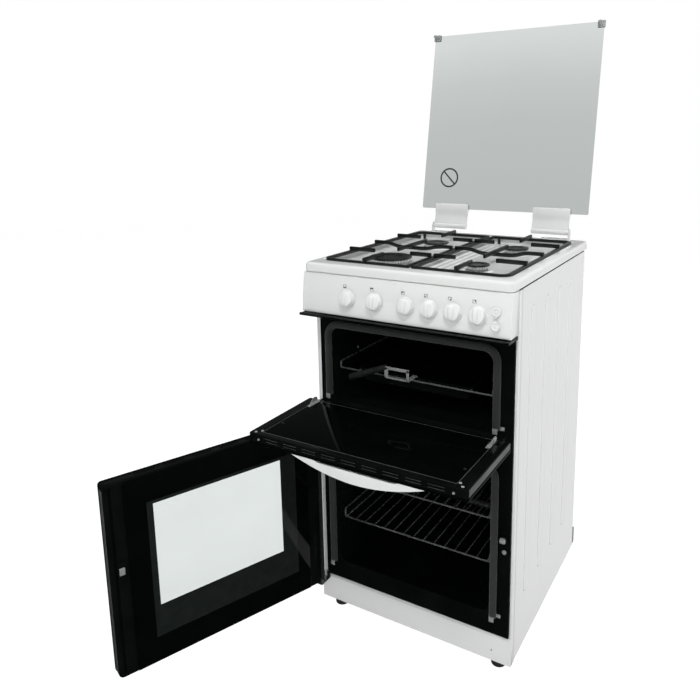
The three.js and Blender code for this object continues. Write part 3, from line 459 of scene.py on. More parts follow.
def box_mask(t, coord, lo, hi, soft=0.0004):
    """1 inside the box lo..hi (metres, object space), 0 outside."""
    sep = t.nodes.new("ShaderNodeSeparateXYZ")
    t.links.new(coord, sep.inputs[0])
    last = None
    for axis in range(3):
        for value, sign in ((lo[axis], 1), (hi[axis], -1)):
            if value is None:
                continue
            r = t.nodes.new("ShaderNodeMapRange")
            r.inputs["From Min"].default_value = value - soft * sign
            r.inputs["From Max"].default_value = value + soft * sign
            t.links.new(sep.outputs[axis], r.inputs["Value"])
            if last is None:
                last = r.outputs[0]
            else:
                k = t.nodes.new("ShaderNodeMath")
                k.operation = "MULTIPLY"
                t.links.new(last, k.inputs[0])
                t.links.new(r.outputs[0], k.inputs[1])
                last = k.outputs[0]
    return last


def lid_glass_painted_sheen_material():
    """Grey tinted float glass, 4 mm, with a painted reflection: its colour is darker at the foot and lighter towards
    the top, mottled a little, with faint unevenness in its polish.
    """
    m = bpy.data.materials.new("lid_glass")
    t, b, out = _nodes(m)
    c = t.nodes.new("ShaderNodeTexCoord").outputs["Object"]
    sep = t.nodes.new("ShaderNodeSeparateXYZ")
    t.links.new(c, sep.inputs[0])
    # painted reflection: the colour runs from darker at the foot to lighter at the top, shifted a little by noise
    up = _range(t, sep.outputs["Z"], 0.0, 1.0, 0.965, 1.47)
    sheen_wobble = _range(t, _noise(t, 2.2, 2, coords=c), -0.05, 0.05)
    k = t.nodes.new("ShaderNodeMath")
    k.operation = "ADD"
    t.links.new(up, k.inputs[0])
    t.links.new(sheen_wobble, k.inputs[1])
    t.links.new(_ramp(t, k.outputs[0], [(0.02, (0.475, 0.50, 0.493)), (0.45, (0.505, 0.53, 0.523)), (0.72, (0.56, 0.585, 0.578)), (0.98, (0.67, 0.70, 0.692))]), b.inputs["Base Color"])
    t.links.new(_range(t, _noise(t, 20, 3, coords=c), 0.02, 0.05), b.inputs["Roughness"])
    b.inputs["Transmission Weight"].default_value = 1.0
    b.inputs["IOR"].default_value = 1.1
    b.inputs["Specular IOR Level"].default_value = 0.4
    _bump(t, b, _noise(t, 6, 2, coords=c), 0.01, 0.001)
    return m


M["lid_glass"] = lid_glass_painted_sheen_material()


def printed_glass(name, window=None, border=None, spec=0.23):
    """Door glass, printed black on its inside with a clear window, and a grey border round it."""
    m = bpy.data.materials.new(name)
    t, b, out = _nodes(m)
    c = t.nodes.new("ShaderNodeTexCoord").outputs["Object"]
    black = _ramp(t, _noise(t, 14, 3, coords=c), [(0.3, (0.0009, 0.0013, 0.0012)), (0.7, (0.0018, 0.0024, 0.0022))])
    colour = black
    if border is not None:
        mask = box_mask(t, c, *border)
        grey = _ramp(t, _noise(t, 40, 3, coords=c), [(0.3, (0.0085, 0.0108, 0.0102)), (0.7, (0.0125, 0.0152, 0.0145))])
        mx = t.nodes.new("ShaderNodeMix")
        mx.data_type = "RGBA"
        t.links.new(mask, mx.inputs[0])
        t.links.new(black, mx.inputs[6])
        t.links.new(grey, mx.inputs[7])
        colour = mx.outputs[2]
    t.links.new(colour, b.inputs["Base Color"])
    t.links.new(_range(t, _noise(t, 18, 3, coords=c), 0.02, 0.06), b.inputs["Roughness"])
    b.inputs["Specular IOR Level"].default_value = spec
    _bump(t, b, _noise(t, 7, 2, coords=c), 0.015, 0.001)
    if window is not None:
        clear = t.nodes.new("ShaderNodeBsdfPrincipled")
        t.links.new(_ramp(t, _noise(t, 10, 2, coords=c), [(0.3, (0.812, 0.835, 0.827)), (0.7, (0.827, 0.85, 0.842))]), clear.inputs["Base Color"])
        clear.inputs["Transmission Weight"].default_value = 1.0
        clear.inputs["Roughness"].default_value = 0.02
        clear.inputs["IOR"].default_value = 1.1
        ms = t.nodes.new("ShaderNodeMixShader")
        t.links.new(box_mask(t, c, *window), ms.inputs[0])
        t.links.new(b.outputs[0], ms.inputs[1])
        t.links.new(clear.outputs[0], ms.inputs[2])
        t.links.new(ms.outputs[0], out.inputs[0])
    return m


def bumper_material():
    m = bpy.data.materials.new("bumper_rubber")
    t, b, _ = _nodes(m)
    t.links.new(_ramp(t, _noise(t, 60, 3), [(0.3, (0.36, 0.39, 0.385)), (0.7, (0.46, 0.49, 0.485))]), b.inputs["Base Color"])
    t.links.new(_range(t, _noise(t, 90, 3), 0.3, 0.45), b.inputs["Roughness"])
    b.inputs["Transmission Weight"].default_value = 0.35
    b.inputs["IOR"].default_value = 1.4
    _bump(t, b, _noise(t, 900, 3), 0.15, 0.0002)
    return m


M["bumper_rubber"] = bumper_material()
M["door_glass"] = printed_glass("door_glass", spec=0.03)


# ---------------------------------------------------------------------- making
def baked(obj):
    """obj with its modifiers made real."""
    dg = bpy.context.evaluated_depsgraph_get()
    dg.update()
    new = bpy.data.meshes.new_from_object(obj.evaluated_get(dg))
    old = obj.data
    obj.modifiers.clear()
    obj.data = new
    if old.users == 0:
        bpy.data.meshes.remove(old)
    return obj


def make(name, shape, look, body="cabinet", node=None, slot=None, matrix=None, smooth=32, bevel=0.0, seg=2, solid=0.0, outward=None, cutters=None, cut_bevel=True, weld=0.002, recalc=True, subdiv=0, remesh=0.0, relax=0, placed=None):
    """A mesh object from a shape in cabinet millimetres. look is a material or a key of M; node is the CAD node, or nodes, that it stands for. placed keeps the mesh where it was drawn and turns the object."""
    if matrix is not None:
        shape = shape.moved(matrix)
    me = bpy.data.meshes.new(name)
    me.from_pydata([tuple(p) for p in shape.v], [], [tuple(f) for f in shape.f])
    bm = bmesh.new()
    bm.from_mesh(me)
    bmesh.ops.remove_doubles(bm, verts=bm.verts, dist=weld)
    bmesh.ops.dissolve_degenerate(bm, edges=bm.edges, dist=weld * 0.5)
    if recalc:
        bmesh.ops.recalc_face_normals(bm, faces=bm.faces)
    if outward is not None:
        # an open sheet: turn it so that the face nearest the given direction faces it
        d = Vector(outward)
        total = sum((f.normal.dot(d) * f.calc_area() for f in bm.faces), 0.0)
        if total < 0:
            bmesh.ops.reverse_faces(bm, faces=bm.faces)
    bm.to_mesh(me)
    bm.free()
    me.transform(TO_ROW)
    me.materials.append(M[look] if isinstance(look, str) else look)
    o = bpy.data.objects.new(name, me)
    SCENE.collection.objects.link(o)
    if placed is not None:
        o.matrix_world = TO_ROW @ placed @ TO_ROW.inverted()
    if solid:
        md = o.modifiers.new("thickness", "SOLIDIFY")
        md.thickness = solid / 1000
        md.offset = -1
        md.use_even_offset = True
        md.use_quality_normals = True
    if remesh:
        md = o.modifiers.new("remesh", "REMESH")
        md.mode = "VOXEL"
        md.voxel_size = remesh / 1000
        md.use_smooth_shade = True
        if relax:
            sm = o.modifiers.new("relax", "SMOOTH")
            sm.iterations = relax
            sm.factor = 0.5
    for cutter in cutters if isinstance(cutters, (list, tuple)) else [cutters] if cutters is not None else []:
        tool = cutter.moved(matrix) if matrix is not None else cutter
        cm = bpy.data.meshes.new(name + "_tool")
        cm.from_pydata([tuple(p) for p in tool.v], [], [tuple(f) for f in tool.f])
        bm = bmesh.new()
        bm.from_mesh(cm)
        bmesh.ops.recalc_face_normals(bm, faces=bm.faces)
        bm.to_mesh(cm)
        bm.free()
        cm.transform(TO_ROW)
        co = bpy.data.objects.new(name + "_tool", cm)
        SCENE.collection.objects.link(co)
        co.matrix_world = o.matrix_world.copy()
        md = o.modifiers.new("cut", "BOOLEAN")
        md.operation = "DIFFERENCE"
        md.solver = "EXACT"
        md.object = co
        bpy.context.view_layer.update()
        baked(o)
        bpy.data.objects.remove(co)
        bpy.data.meshes.remove(cm)
    if bevel:
        md = o.modifiers.new("bevel", "BEVEL")
        md.width = bevel / 1000
        md.segments = seg
        md.limit_method = "ANGLE"
        md.angle_limit = math.radians(40)
        md.harden_normals = False
    if subdiv:
        md = o.modifiers.new("subdivision", "SUBSURF")
        md.levels = md.render_levels = subdiv
    if o.modifiers:
        bpy.context.view_layer.update()
        baked(o)
    o.data.shade_smooth()
    if smooth < 179:
        o.data.set_sharp_from_angle(angle=math.radians(smooth))
    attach(o, body)
    if node:
        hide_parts(*([node] if isinstance(node, str) else node))
    if slot or isinstance(look, str):
        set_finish(o, slot or {"frame_enamel": "black_enamel", "shelf_chrome": "bright_chrome", "ink": "black_enamel", "steel_screw": "bright_chrome"}.get(look, look))
    return o


def copy_of(obj, name, matrix, body, node=None):
    """A second object with the same mesh, moved by matrix (cabinet millimetres) from the first."""
    o = bpy.data.objects.new(name, obj.data)
    SCENE.collection.objects.link(o)
    o.matrix_world = TO_ROW @ matrix @ TO_ROW.inverted() @ obj.matrix_world
    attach(o, body)
    if node:
        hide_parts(node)
    if "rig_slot" in obj:
        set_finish(o, obj["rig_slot"])
    return o


def refine(node, look, bevel=0.0, seg=2, smooth=35):
    """A CAD node that keeps its shape, with its finish and softened edges."""
    o = NODES[node]
    o.data.materials.clear()
    o.data.materials.append(M[look] if isinstance(look, str) else look)
    o.data.shade_smooth()
    o.data.set_sharp_from_angle(angle=math.radians(smooth))
    if bevel:
        md = o.modifiers.new("bevel", "BEVEL")
        md.width = bevel / 1000
        md.segments = seg
        md.limit_method = "ANGLE"
        md.angle_limit = math.radians(35)
        md.harden_normals = True
    return o


# --------------------------------------------------------- camera, light, floor
def camera():
    yaw, pitch, roll = 0.529001197, -0.186367646, -0.0131990645
    fwd = Vector((-math.sin(yaw) * math.cos(pitch), math.cos(yaw) * math.cos(pitch), math.sin(pitch)))
    right = Vector((math.cos(yaw), math.sin(yaw), 0))
    up = right.cross(fwd)
    r2 = right * math.cos(roll) + up * math.sin(roll)
    u2 = up * math.cos(roll) - right * math.sin(roll)
    cam = bpy.data.cameras.new("camera")
    o = bpy.data.objects.new("camera", cam)
    SCENE.collection.objects.link(o)
    m = Matrix((r2, u2, -fwd)).transposed().to_4x4()
    m.translation = Vector(((667.735 + OX) / 1000, (-1258.577 + OY) / 1000, 1.18047))
    o.matrix_world = m
    cam.sensor_width = 36
    cam.lens = 674.05 / 700 * 36
    cam.shift_x = -31.234 / 700
    cam.shift_y = -86.986 / 700
    cam.clip_start = 0.02
    cam.clip_end = 200
    SCENE.camera = o


def area(name, loc, target, size, power, size_y=None, gloss=False):
    l = bpy.data.lights.new(name, "AREA")
    l.shape = "RECTANGLE"
    l.size = size
    l.size_y = size_y or size
    l.energy = power
    o = bpy.data.objects.new(name, l)
    SCENE.collection.objects.link(o)
    o.visible_glossy = gloss
    o.visible_transmission = False
    o.location = loc
    o.rotation_euler = (Vector(target) - Vector(loc)).to_track_quat("-Z", "Y").to_euler()
    return o


def studio():
    w = bpy.data.worlds.new("studio")
    SCENE.world = w
    w.use_nodes = True
    t = w.node_tree
    t.nodes.clear()
    out = t.nodes.new("ShaderNodeOutputWorld")
    tc = t.nodes.new("ShaderNodeTexCoord")
    sep = t.nodes.new("ShaderNodeSeparateXYZ")
    t.links.new(tc.outputs["Generated"], sep.inputs[0])
    # the side of the room behind the range is bright, the side in front of it is dim
    back = t.nodes.new("ShaderNodeMapRange")
    back.inputs["From Min"].default_value = -0.5
    back.inputs["From Max"].default_value = 0.55
    back.inputs["To Min"].default_value = 0.08
    back.inputs["To Max"].default_value = 0.1
    t.links.new(sep.outputs["Y"], back.inputs["Value"])
    low = t.nodes.new("ShaderNodeMapRange")
    low.inputs["From Min"].default_value = -0.35
    low.inputs["From Max"].default_value = 0.1
    low.inputs["To Min"].default_value = 0.12
    low.inputs["To Max"].default_value = 1.0
    t.links.new(sep.outputs["Z"], low.inputs["Value"])
    both = t.nodes.new("ShaderNodeMath")
    both.operation = "MULTIPLY"
    t.links.new(back.outputs[0], both.inputs[0])
    t.links.new(low.outputs[0], both.inputs[1])
    # a bright wall behind it on the right, down to the floor
    right = t.nodes.new("ShaderNodeMapRange")
    right.inputs["From Min"].default_value = 0.02
    right.inputs["From Max"].default_value = 0.16
    right.inputs["To Min"].default_value = 0.0
    right.inputs["To Max"].default_value = 0.55
    t.links.new(sep.outputs["X"], right.inputs["Value"])
    far = t.nodes.new("ShaderNodeMapRange")
    far.inputs["From Min"].default_value = 0.5
    far.inputs["From Max"].default_value = 0.8
    t.links.new(sep.outputs["Y"], far.inputs["Value"])
    wall = t.nodes.new("ShaderNodeMath")
    wall.operation = "MULTIPLY"
    t.links.new(right.outputs[0], wall.inputs[0])
    t.links.new(far.outputs[0], wall.inputs[1])
    total = t.nodes.new("ShaderNodeMath")
    total.operation = "ADD"
    t.links.new(both.outputs[0], total.inputs[0])
    t.links.new(wall.outputs[0], total.inputs[1])
    room = t.nodes.new("ShaderNodeBackground")
    room.inputs["Color"].default_value = (1, 1, 1, 1)
    t.links.new(total.outputs[0], room.inputs["Strength"])
    seen = t.nodes.new("ShaderNodeBackground")
    seen.inputs["Color"].default_value = (1, 1, 1, 1)
    seen.inputs["Strength"].default_value = 1.0
    lp = t.nodes.new("ShaderNodeLightPath")
    either = t.nodes.new("ShaderNodeMath")
    either.operation = "MAXIMUM"
    t.links.new(lp.outputs["Is Camera Ray"], either.inputs[0])
    t.links.new(lp.outputs["Is Transmission Ray"], either.inputs[1])
    mix = t.nodes.new("ShaderNodeMixShader")
    t.links.new(either.outputs[0], mix.inputs[0])
    t.links.new(room.outputs[0], mix.inputs[1])
    t.links.new(seen.outputs[0], mix.inputs[2])
    t.links.new(mix.outputs[0], out.inputs[0])
    area("key", (-1.2, -2.9, 2.3), (0.0, 0.0, 0.65), 2.0, 12)
    area("front_right", (1.3, -2.7, 1.6), (0.25, -0.1, 0.65), 1.4, 26)
    area("high", (0.68, -1.3, 2.45), (0.12, -0.1, 0.8), 0.34, 19)
    area("fill_right", (3.2, 0.2, 1.2), (0.33, 0.15, 0.4), 2.2, 3)
    area("rear_right", (2.4, 1.8, 0.6), (0.33, 0.35, 0.3), 0.7, 33)
    area("top", (0.2, 0.5, 3.6), (0.1, 0.1, 0.9), 2.6, 64)
    area("rear", (-1.6, 2.6, 2.2), (0.1, 0.2, 0.8), 2.2, 20)
    # floor
    s = Shape()
    s.fill([xy(circle(0, 0, 9000, 64), -0.4)], (0, 0, 1))
    me = bpy.data.meshes.new("floor")
    me.from_pydata([tuple(p) for p in s.v], [], [tuple(f) for f in s.f])
    me.transform(TO_ROW)
    m = bpy.data.materials.new("floor")
    t, b, out = _nodes(m)
    t.links.new(_ramp(t, _noise(t, 2, 2), [(0.3, (0.16, 0.16, 0.16)), (0.7, (0.17, 0.17, 0.17))]), b.inputs["Base Color"])
    b.inputs["Roughness"].default_value = 0.9
    b.inputs["Specular IOR Level"].default_value = 0.1
    b.inputs["Emission Color"].default_value = (1, 1, 1, 1)
    b.inputs["Emission Strength"].default_value = 0.97
    me.materials.append(m)
    o = bpy.data.objects.new("floor", me)
    SCENE.collection.objects.link(o)
    o.visible_glossy = False


camera()
studio()


# ---------------------------------------------------------------- side panels
def stadium(cy, z0, z1, r, n=12):
    out = []
    for k in range(n + 1):
        a = math.pi * k / n
        out.append((cy + r * math.cos(a), z1 - r + r * math.sin(a)))
    for k in range(n + 1):
        a = math.pi + math.pi * k / n
        out.append((cy + r * math.cos(a), z0 + r + r * math.sin(a)))
    return out


def side_panel(lip):
    skin, z0, z1 = 248.4, 24, 876
    s = Shape()
    edge = [(skin - lip, 3.0), (skin - 0.7, 3.0)]
    edge += [(skin + 1 - 1.6 + 1.6 * math.sin(a), 4.6 - 1.6 * math.cos(a)) for a in [math.radians(q) for q in (20, 45, 70, 90)]]
    edge += [(skin + 1, 19.0), (skin + 0.75, 19.8), (skin + 0.25, 20.6), (skin, 21.4), (skin, 22.6)]
    s.loft([[(x, y, z0) for x, y in edge], [(x, y, z1) for x, y in edge]], closed=False)
    ribs = [stadium(y, 149, 829, 21) for y in (95, 197, 299, 401)]
    s.fill([yz([(22.6, z0), (517.2, z0), (517.2, z1), (22.6, z1)], skin)] + [yz(r, skin) for r in ribs], (1, 0, 0))
    for y in (95, 197, 299, 401):
        rings = []
        for d, h in ((-1, 0), (0, 0), (0.5, -0.12), (1.1, -0.42), (1.8, -0.5), (2.4, -0.2), (3.0, 0.5), (3.6, 1.16), (4.2, 1.5), (4.9, 1.6), (6.2, 1.6)):
            rings.append(yz(stadium(y, 150 + d, 828 - d, 20 - d), skin + h))
        s.loft(rings)
        s.fill([rings[-1]], (1, 0, 0))
    rear = [(skin, 517.2), (skin, 518.4), (skin - 0.5, 519.5), (skin - 1.6, 520), (skin - 16, 520)]
    s.loft([[(x, y, z0) for x, y in rear], [(x, y, z1) for x, y in rear]], closed=False)
    return s


make("side_right_panel", side_panel(5), "white_enamel", node="side_panel_right", solid=0.9, outward=(1, 0, 0), smooth=25)
make("side_left_panel", side_panel(12.4).mirrored(), "white_enamel", node="side_panel_left", solid=0.9, outward=(-1, 0, 0), smooth=25)


# --------------------------------------------------------------------- hob top
def hob():
    s = Shape()
    o = (-250, -40, 250, 545)

    def outline(inset, n=8):
        return rrect(o[0] + inset, o[1] + inset, o[2] - inset, o[3] - inset, 14 - min(inset, 7), n)

    rings = [xy(outline(1.0), 879.5), xy(outline(0), 880.4), xy(outline(0), 893)]
    for k in range(1, 8):
        a = math.radians(90 * k / 7)
        rings.append(xy(outline(7 * (1 - math.cos(a))), 893 + 7 * math.sin(a)))
    s.loft(rings)

    def well(out_by, n=8):
        return rrect(-234 - out_by, 3 - out_by, 223 + out_by, 509 + out_by, 22 + out_by, n)

    s.fill([rings[-1], xy(well(5), 900)], (0, 0, 1))
    wr = [xy(well(5), 900)]
    for k in range(1, 7):
        a = math.radians(90 * k / 6)
        wr.append(xy(well(5 * (1 - math.sin(a))), 900 - 5 * (1 - math.cos(a))))
    wr.append(xy(well(0), 888))
    for k in range(1, 7):
        a = math.radians(90 * k / 6)
        wr.append(xy(well(-6.5 * (1 - math.cos(a))), 888 - 6.5 * math.sin(a)))
    s.loft(wr)
    z = 881.5
    step = lambda i, e: rrect(*((-51 + e, 44 + e, 41 - e, 462 - e, 16 - e), (-38 + e, 54 + e, 28 - e, 452 - e, 12 - e), (-25 + e, 64 + e, 15 - e, 442 - e, 9 - e))[i])
    seats = [(-116.5, 128, 60), (106, 128, 37), (-114, 374, 45), (111, 374, 42)]
    s.fill([wr[-1], xy(step(0, -1), z)] + [xy(circle(x, y, r + 1), z) for x, y, r in seats], (0, 0, 1))
    for i in range(3):
        base = z + 2.4 * i
        rr = [xy(step(i, e), base + h) for e, h in ((-1, 0), (0, 0), (0.8, 0.25), (1.6, 0.9), (2.4, 1.6), (3.2, 2.15), (4.2, 2.4), (5.2, 2.4))]
        s.loft(rr)
        if i < 2:
            s.fill([rr[-1], xy(step(i + 1, -1), base + 2.4)], (0, 0, 1))
        else:
            s.fill([rr[-1]], (0, 0, 1))
    for x, y, r in seats:
        rr = [xy(circle(x, y, r - e), z + h) for e, h in ((-1, 0), (0, 0), (1.4, 0.3), (2.8, 1.0), (4.2, 1.7), (6, 2.0), (8, 2.0), (10, 1.5), (12, 1.3))]
        s.loft(rr)
        s.fill([rr[-1]], (0, 0, 1))
    return s


make("hob_worktop", hob(), "white_enamel", node="hob_top", solid=1.1, outward=(0, 0, 1), smooth=38)


# ---------------------------------------------------------------- pan supports
def bar_section(w, h, r=1.2, n=3):
    return [(u, v) for u, v in rrect(-w / 2, -h / 2, w / 2, h / 2, r, n)]


def pan_support(sgn):
    s = Shape()
    path = [(7, 12, 899.5), (222, 12, 899.5), (222, 500, 899.5), (7, 500, 899.5)]
    out = []
    P = [Vector(p) for p in path]
    for i, (p, r) in enumerate(zip(P, (5, 17, 17, 5))):
        a, b = (P[i - 1] - p).normalized(), (P[(i + 1) % 4] - p).normalized()
        for k in range(9):
            t = k / 8
            ang = t * math.pi / 2
            c = p + (a + b) * r
            out.append(c - b * r * math.cos(ang) - a * r * math.sin(ang))
    s.join(sweep(out, bar_section(7.6, 7.6, 1.6), closed=True, up=(0, 0, 1)))
    w, zc, h = 6.4, 907.5, 9.8

    def bar(p, q):
        return sweep([p, q], bar_section(w, h, 1.5), up=(0, 0, 1), taper=1.2)

    for y in (128, 374):
        s.join(bar((155.2, y, zc), (226.8, y, zc)), bar((3.6, y, zc), (57.8, y, zc)))
    for a, b in ((4, 92), (166, 322), (418, 508)):
        s.join(bar((112, a, zc), (112, b, zc)))
    dip = [(226, 248.2, 907.75), (182, 248.2, 907.75), (154, 248.2, 899), (72, 248.2, 899), (44, 248.2, 907.75), (3.6, 248.2, 907.75)]
    s.join(sweep(fillet(dip, 16, 8), bar_section(w, 9.0, 1.5), up=(0, 0, 1), taper=1.2))
    for x, y in ((24, 12), (206, 12), (24, 500), (206, 500)):
        s.join(lathe([(0, 881.8), (3.4, 881.8), (4, 882.6), (4, 896.3), (0, 896.3)], 16).at(x, y, 0))
    return (s if sgn > 0 else s.mirrored()).at(-5, 0, 0)


make("grate_right", pan_support(1), "grate_enamel", "pan_support_right", node="pan_support_right", smooth=40)
make("grate_left", pan_support(-1), "grate_enamel", "pan_support_left", node="pan_support_left", smooth=40)

# -------------------------------------------------------------------- burners
for bid, bx, by, R, ports in (("fl", -116.5, 128, 52, 42), ("fr", 106, 128, 28, 22), ("rl", -114, 374, 35, 30), ("rr", 111, 374, 32, 28)):
    c = R - 4
    n = ports * 4
    base = 883.8
    slot_rings = {4, 5, 6}

    def notch(i, a, k, slot_rings=slot_rings):
        return -2.6 if i in slot_rings and (k % 4) in (1, 2) else 0

    prof = [(0, 0), (c + 1.2, 0), (c + 1.6, 0.6), (c + 1.2, 1.6), (c - 0.2, 2.4), (c - 0.2, 5), (c - 0.2, 8.2), (c - 2, 9), (0, 9)]
    make("crown_" + bid, lathe(prof, n, wave=notch).at(bx, by, base), "burner_aluminium", node="burner_crown_" + bid, smooth=30)
    q = [(0, 0), (R - 2.4, 0), (R - 1.0, 0.35), (R - 0.25, 1.0), (R, 1.9), (R - 0.2, 2.7), (R - 1.0, 3.5), (R - 2.6, 4.1), (R - 5, 4.38), (0.60 * R, 4.4), (0.565 * R, 4.15), (0.54 * R, 3.4), (0.52 * R, 2.7), (0.49 * R, 2.35), (0.3 * R, 2.3), (0, 2.25)]
    make("cap_" + bid, lathe(q, 64).at(bx, by, base + 9.3), "cap_enamel", node="burner_cap_" + bid, smooth=40)

# -------------------------------------------------------------- control panel


def inset_loft(profile, stations, y_c, z_c, hy, hz):
    """Rings of a (y, z) profile along x; each station is (x, inset)."""
    return [[(x, y_c + (y - y_c) * (1 - e / hy), z_c + (z - z_c) * (1 - e / hz)) for y, z in profile] for x, e in stations]


def panel_front(z):
    return face_y(z) - 1.6 * math.sin(math.pi * (z - 787) / 91.5)


def control_panel():
    prof = [(-10.2, 787.0), (-46.6, 787.0), (-48.6, 787.4), (-49.9, 788.4)]
    for k in range(15):
        z = 790 + (874 - 790) * k / 14
        prof.append((panel_front(z), z))
    prof += [(-40.9, 876.2), (-39.6, 877.6), (-37.4, 878.4), (-6.2, 878.4), (-6.2, 862), (-10.2, 800)]
    s = Shape()
    st = [(-250, 1.6), (-249.8, 0.9), (-249.2, 0.3), (-248.2, 0), (248.2, 0), (249.2, 0.3), (249.8, 0.9), (250, 1.6)]
    s.loft(inset_loft(prof, st, -26, 832, 22, 46), start=True, end=True)
    return s


def button_matrix(z):
    return Matrix.Translation((219.5, face_y(z) - 1.6, z)) @ Matrix.Rotation(-TILT, 4, "X") @ Matrix.Rotation(math.pi / 2, 4, "X")


holes = Shape()
for z in (839.5, 812):
    holes.join(lathe([(0, -3.4), (6.9, -3.4), (6.9, 4), (0, 4)], 40).moved(button_matrix(z)))
make("panel_front", control_panel(), "panel_plastic", node="control_panel", smooth=30, cutters=holes)

# black strip under the panel; its nose is a lighter grey strip, a painted highlight where the tilted face catches the
# light
trim = [(-61.6, 786.2), (-62.6, 785.6), (-63, 784.6), (-63, 782.0), (-62.6, 780.9), (-61.6, 780.3), (-58, 779.9), (-8, 777.7), (-8, 785.1), (-57, 785.1), (-57.2, 786.0), (-58, 786.2)]
s = Shape()
s.loft([yz(trim, x) for x in (-250, -249.7, 249.7, 250)], start=True, end=True)
make("panel_trim", s, "black_enamel", node="control_panel_trim", smooth=30, bevel=0.25)
# painted highlight: lighter grey standing in for light caught by the black trim's nose
M["trim_painted_highlight"] = shade([(0.085, 0.09, 0.088), (0.12, 0.126, 0.124)], 30, (0.3, 0.42), 60, metal=0.4, bumps=((500, 2, 0.08, 0.0001),), stretch=(0.1, 1, 1), name="trim_painted_highlight")
nose = [(-62.95, 784.9), (-63.0, 784.6), (-63.0, 782.0), (-62.7, 781.2), (-61.5, 781.2), (-61.5, 784.9)]
s = Shape()
s.loft([yz(nose, x) for x in (-249.9, 249.9)], start=True, end=True)
make("panel_trim_nose_highlight", s.at(0, -0.0, 0), M["trim_painted_highlight"], slot="black_enamel", smooth=50)


# ---------------------------------------------------------------------- knobs
def knob():
    dial = [(0, 0.2), (17.6, 0.2), (17.6, 1.7), (19.9, 2.1), (20.5, 2.9), (20.4, 4.0), (19.7, 5.0), (18.9, 5.8), (18.4, 7.0), (17.9, 9), (17.5, 11.4), (16.7, 13.2), (15.2, 14.4), (12.6, 15.0), (8, 15.3), (0, 15.5)]
    s = lathe(dial, 64)
    # grip: a bow that stands out of the dome and fades into it; its outline lies across the dial
    out = [(-16.4, 8)]
    for k in range(25):
        a = math.pi * (1 - k / 24)
        out.append((16.4 * math.cos(a), 10.5 + 9.7 * math.sin(a) ** 0.62))
    out.append((16.4, 8))
    g = Shape()
    rings = []
    for x, e in ((-5.6, 3.4), (-4.9, 1.7), (-3.6, 0.5), (-1.2, 0), (1.2, 0), (3.6, 0.5), (4.9, 1.7), (5.6, 3.4)):
        rings.append([(x, u * (1 - e / 18), 8 + (v - 8) * (1 - e / 13)) for u, v in out])
    g.loft(rings, start=True, end=True)
    return s.join(g)


def knob_matrix(x):
    return Matrix.Translation((x, face_y(KNOB_Z) - 1.6, KNOB_Z)) @ Matrix.Rotation(-TILT, 4, "X") @ Matrix.Translation((0, -0.7, 0)) @ Matrix.Rotation(math.pi / 2, 4, "X")


first = make("knob_grip_1", knob(), "white_plastic", "knob_1", node="knob_1", matrix=knob_matrix(KNOB_XS[0]), remesh=0.5, relax=5, smooth=180)
for i in range(1, 6):
    copy_of(first, f"knob_grip_{i + 1}", knob_matrix(KNOB_XS[i]) @ knob_matrix(KNOB_XS[0]).inverted(), f"knob_{i + 1}", f"knob_{i + 1}")


# --------------------------------------------------------------------- buttons
for i, z in enumerate((839.5, 812)):
    prof = [(0, 1.2), (6.3, 1.2), (6.3, 3.8), (8.8, 3.9), (9.4, 4.3), (9.6, 5.2), (9.5, 6.3), (9.0, 7.3), (8.2, 8.0), (7.2, 8.15), (6.3, 7.9), (5.7, 7.2), (5.3, 6.7), (4.7, 6.6), (4.1, 6.9), (3.2, 7.4), (1.8, 7.7), (0, 7.8)]
    make(f"push_button_{i + 1}", lathe(prof, 40), "white_plastic", f"button_{i + 1}", node=f"button_{i + 1}", matrix=button_matrix(z), smooth=50)


# ------------------------------------------------- symbols above the knobs
def on_panel(shape, x, z):
    y = panel_front(z)
    return shape.moved(Matrix.Translation((x, y, z)) @ Matrix.Rotation(-TILT, 4, "X"))


def mark(u0, u1, w0, w1):
    return block(u0, u1, -0.1, 0.3, w0, w1)


def dot(u, w, r):
    return lathe([(0, -0.3), (r, -0.3), (r, 0.1), (0, 0.1)], 14).moved(Matrix.Translation((u, 0, w)) @ Matrix.Rotation(math.pi / 2, 4, "X"))


def square(u, w, h, t):
    return [mark(u - h, u + h, w + h - t, w + h), mark(u - h, u + h, w - h, w - h + t), mark(u - h, u - h + t, w - h, w + h), mark(u + h - t, u + h, w - h, w + h)]


for i, kx in enumerate(KNOB_XS):
    s = Shape()
    u, w, h = -9.4, 0.4, 3.9
    s.join(*square(u, w, h, 0.8))
    if i == 0:
        s.join(mark(u - h + 0.8, u + h - 0.8, w - h + 0.8, w - h + 3.0))
    elif i == 1:
        s.join(mark(u - h + 0.8, u + h - 0.8, w + h - 3.0, w + h - 0.8))
    else:
        cx, cz = ((-1, 1), (-1, -1), (1, -1), (1, 1))[i - 2]
        for a in (-1, 1):
            for b in (-1, 1):
                s.join(dot(u + a * 1.6, w + b * 1.6, 1.45 if (a, b) == (cx, cz) else 0.6))
    s.join(dot(0, -3.9, 0.95))
    make(f"knob_symbol_{i + 1}", on_panel(s, kx, 854.4), "ink", smooth=30)


# -------------------------------------------------------------- plinth, feet
pl = Shape()
pr = [(-1.2, 24.0), (-2.5, 24.5), (-3.0, 25.6), (-3.0, 83.6), (-2.7, 84.8), (-2.1, 85.8), (1.0, 89.2), (2.0, 89.9), (3.2, 90.3), (9.2, 90.4), (9.2, 24.0)]
pl.loft([[(x, 3 + (y - 3) * (1 - e / 8), 57 + (z - 57) * (1 - e / 34)) for y, z in pr] for x, e in ((-250, 1.2), (-249.6, 0.4), (-248.8, 0), (248.8, 0), (249.6, 0.4), (250, 1.2))], start=True, end=True)
hole = lathe([(0, 0), (2.4, 0), (2.4, 12), (0, 12)], 20).moved(Matrix.Translation((205, -8, 50)) @ Matrix.Rotation(-math.pi / 2, 4, "X"))
make("toe_panel", pl, "white_enamel", node="plinth", smooth=35, cutters=hole.at(0, 0, 0))

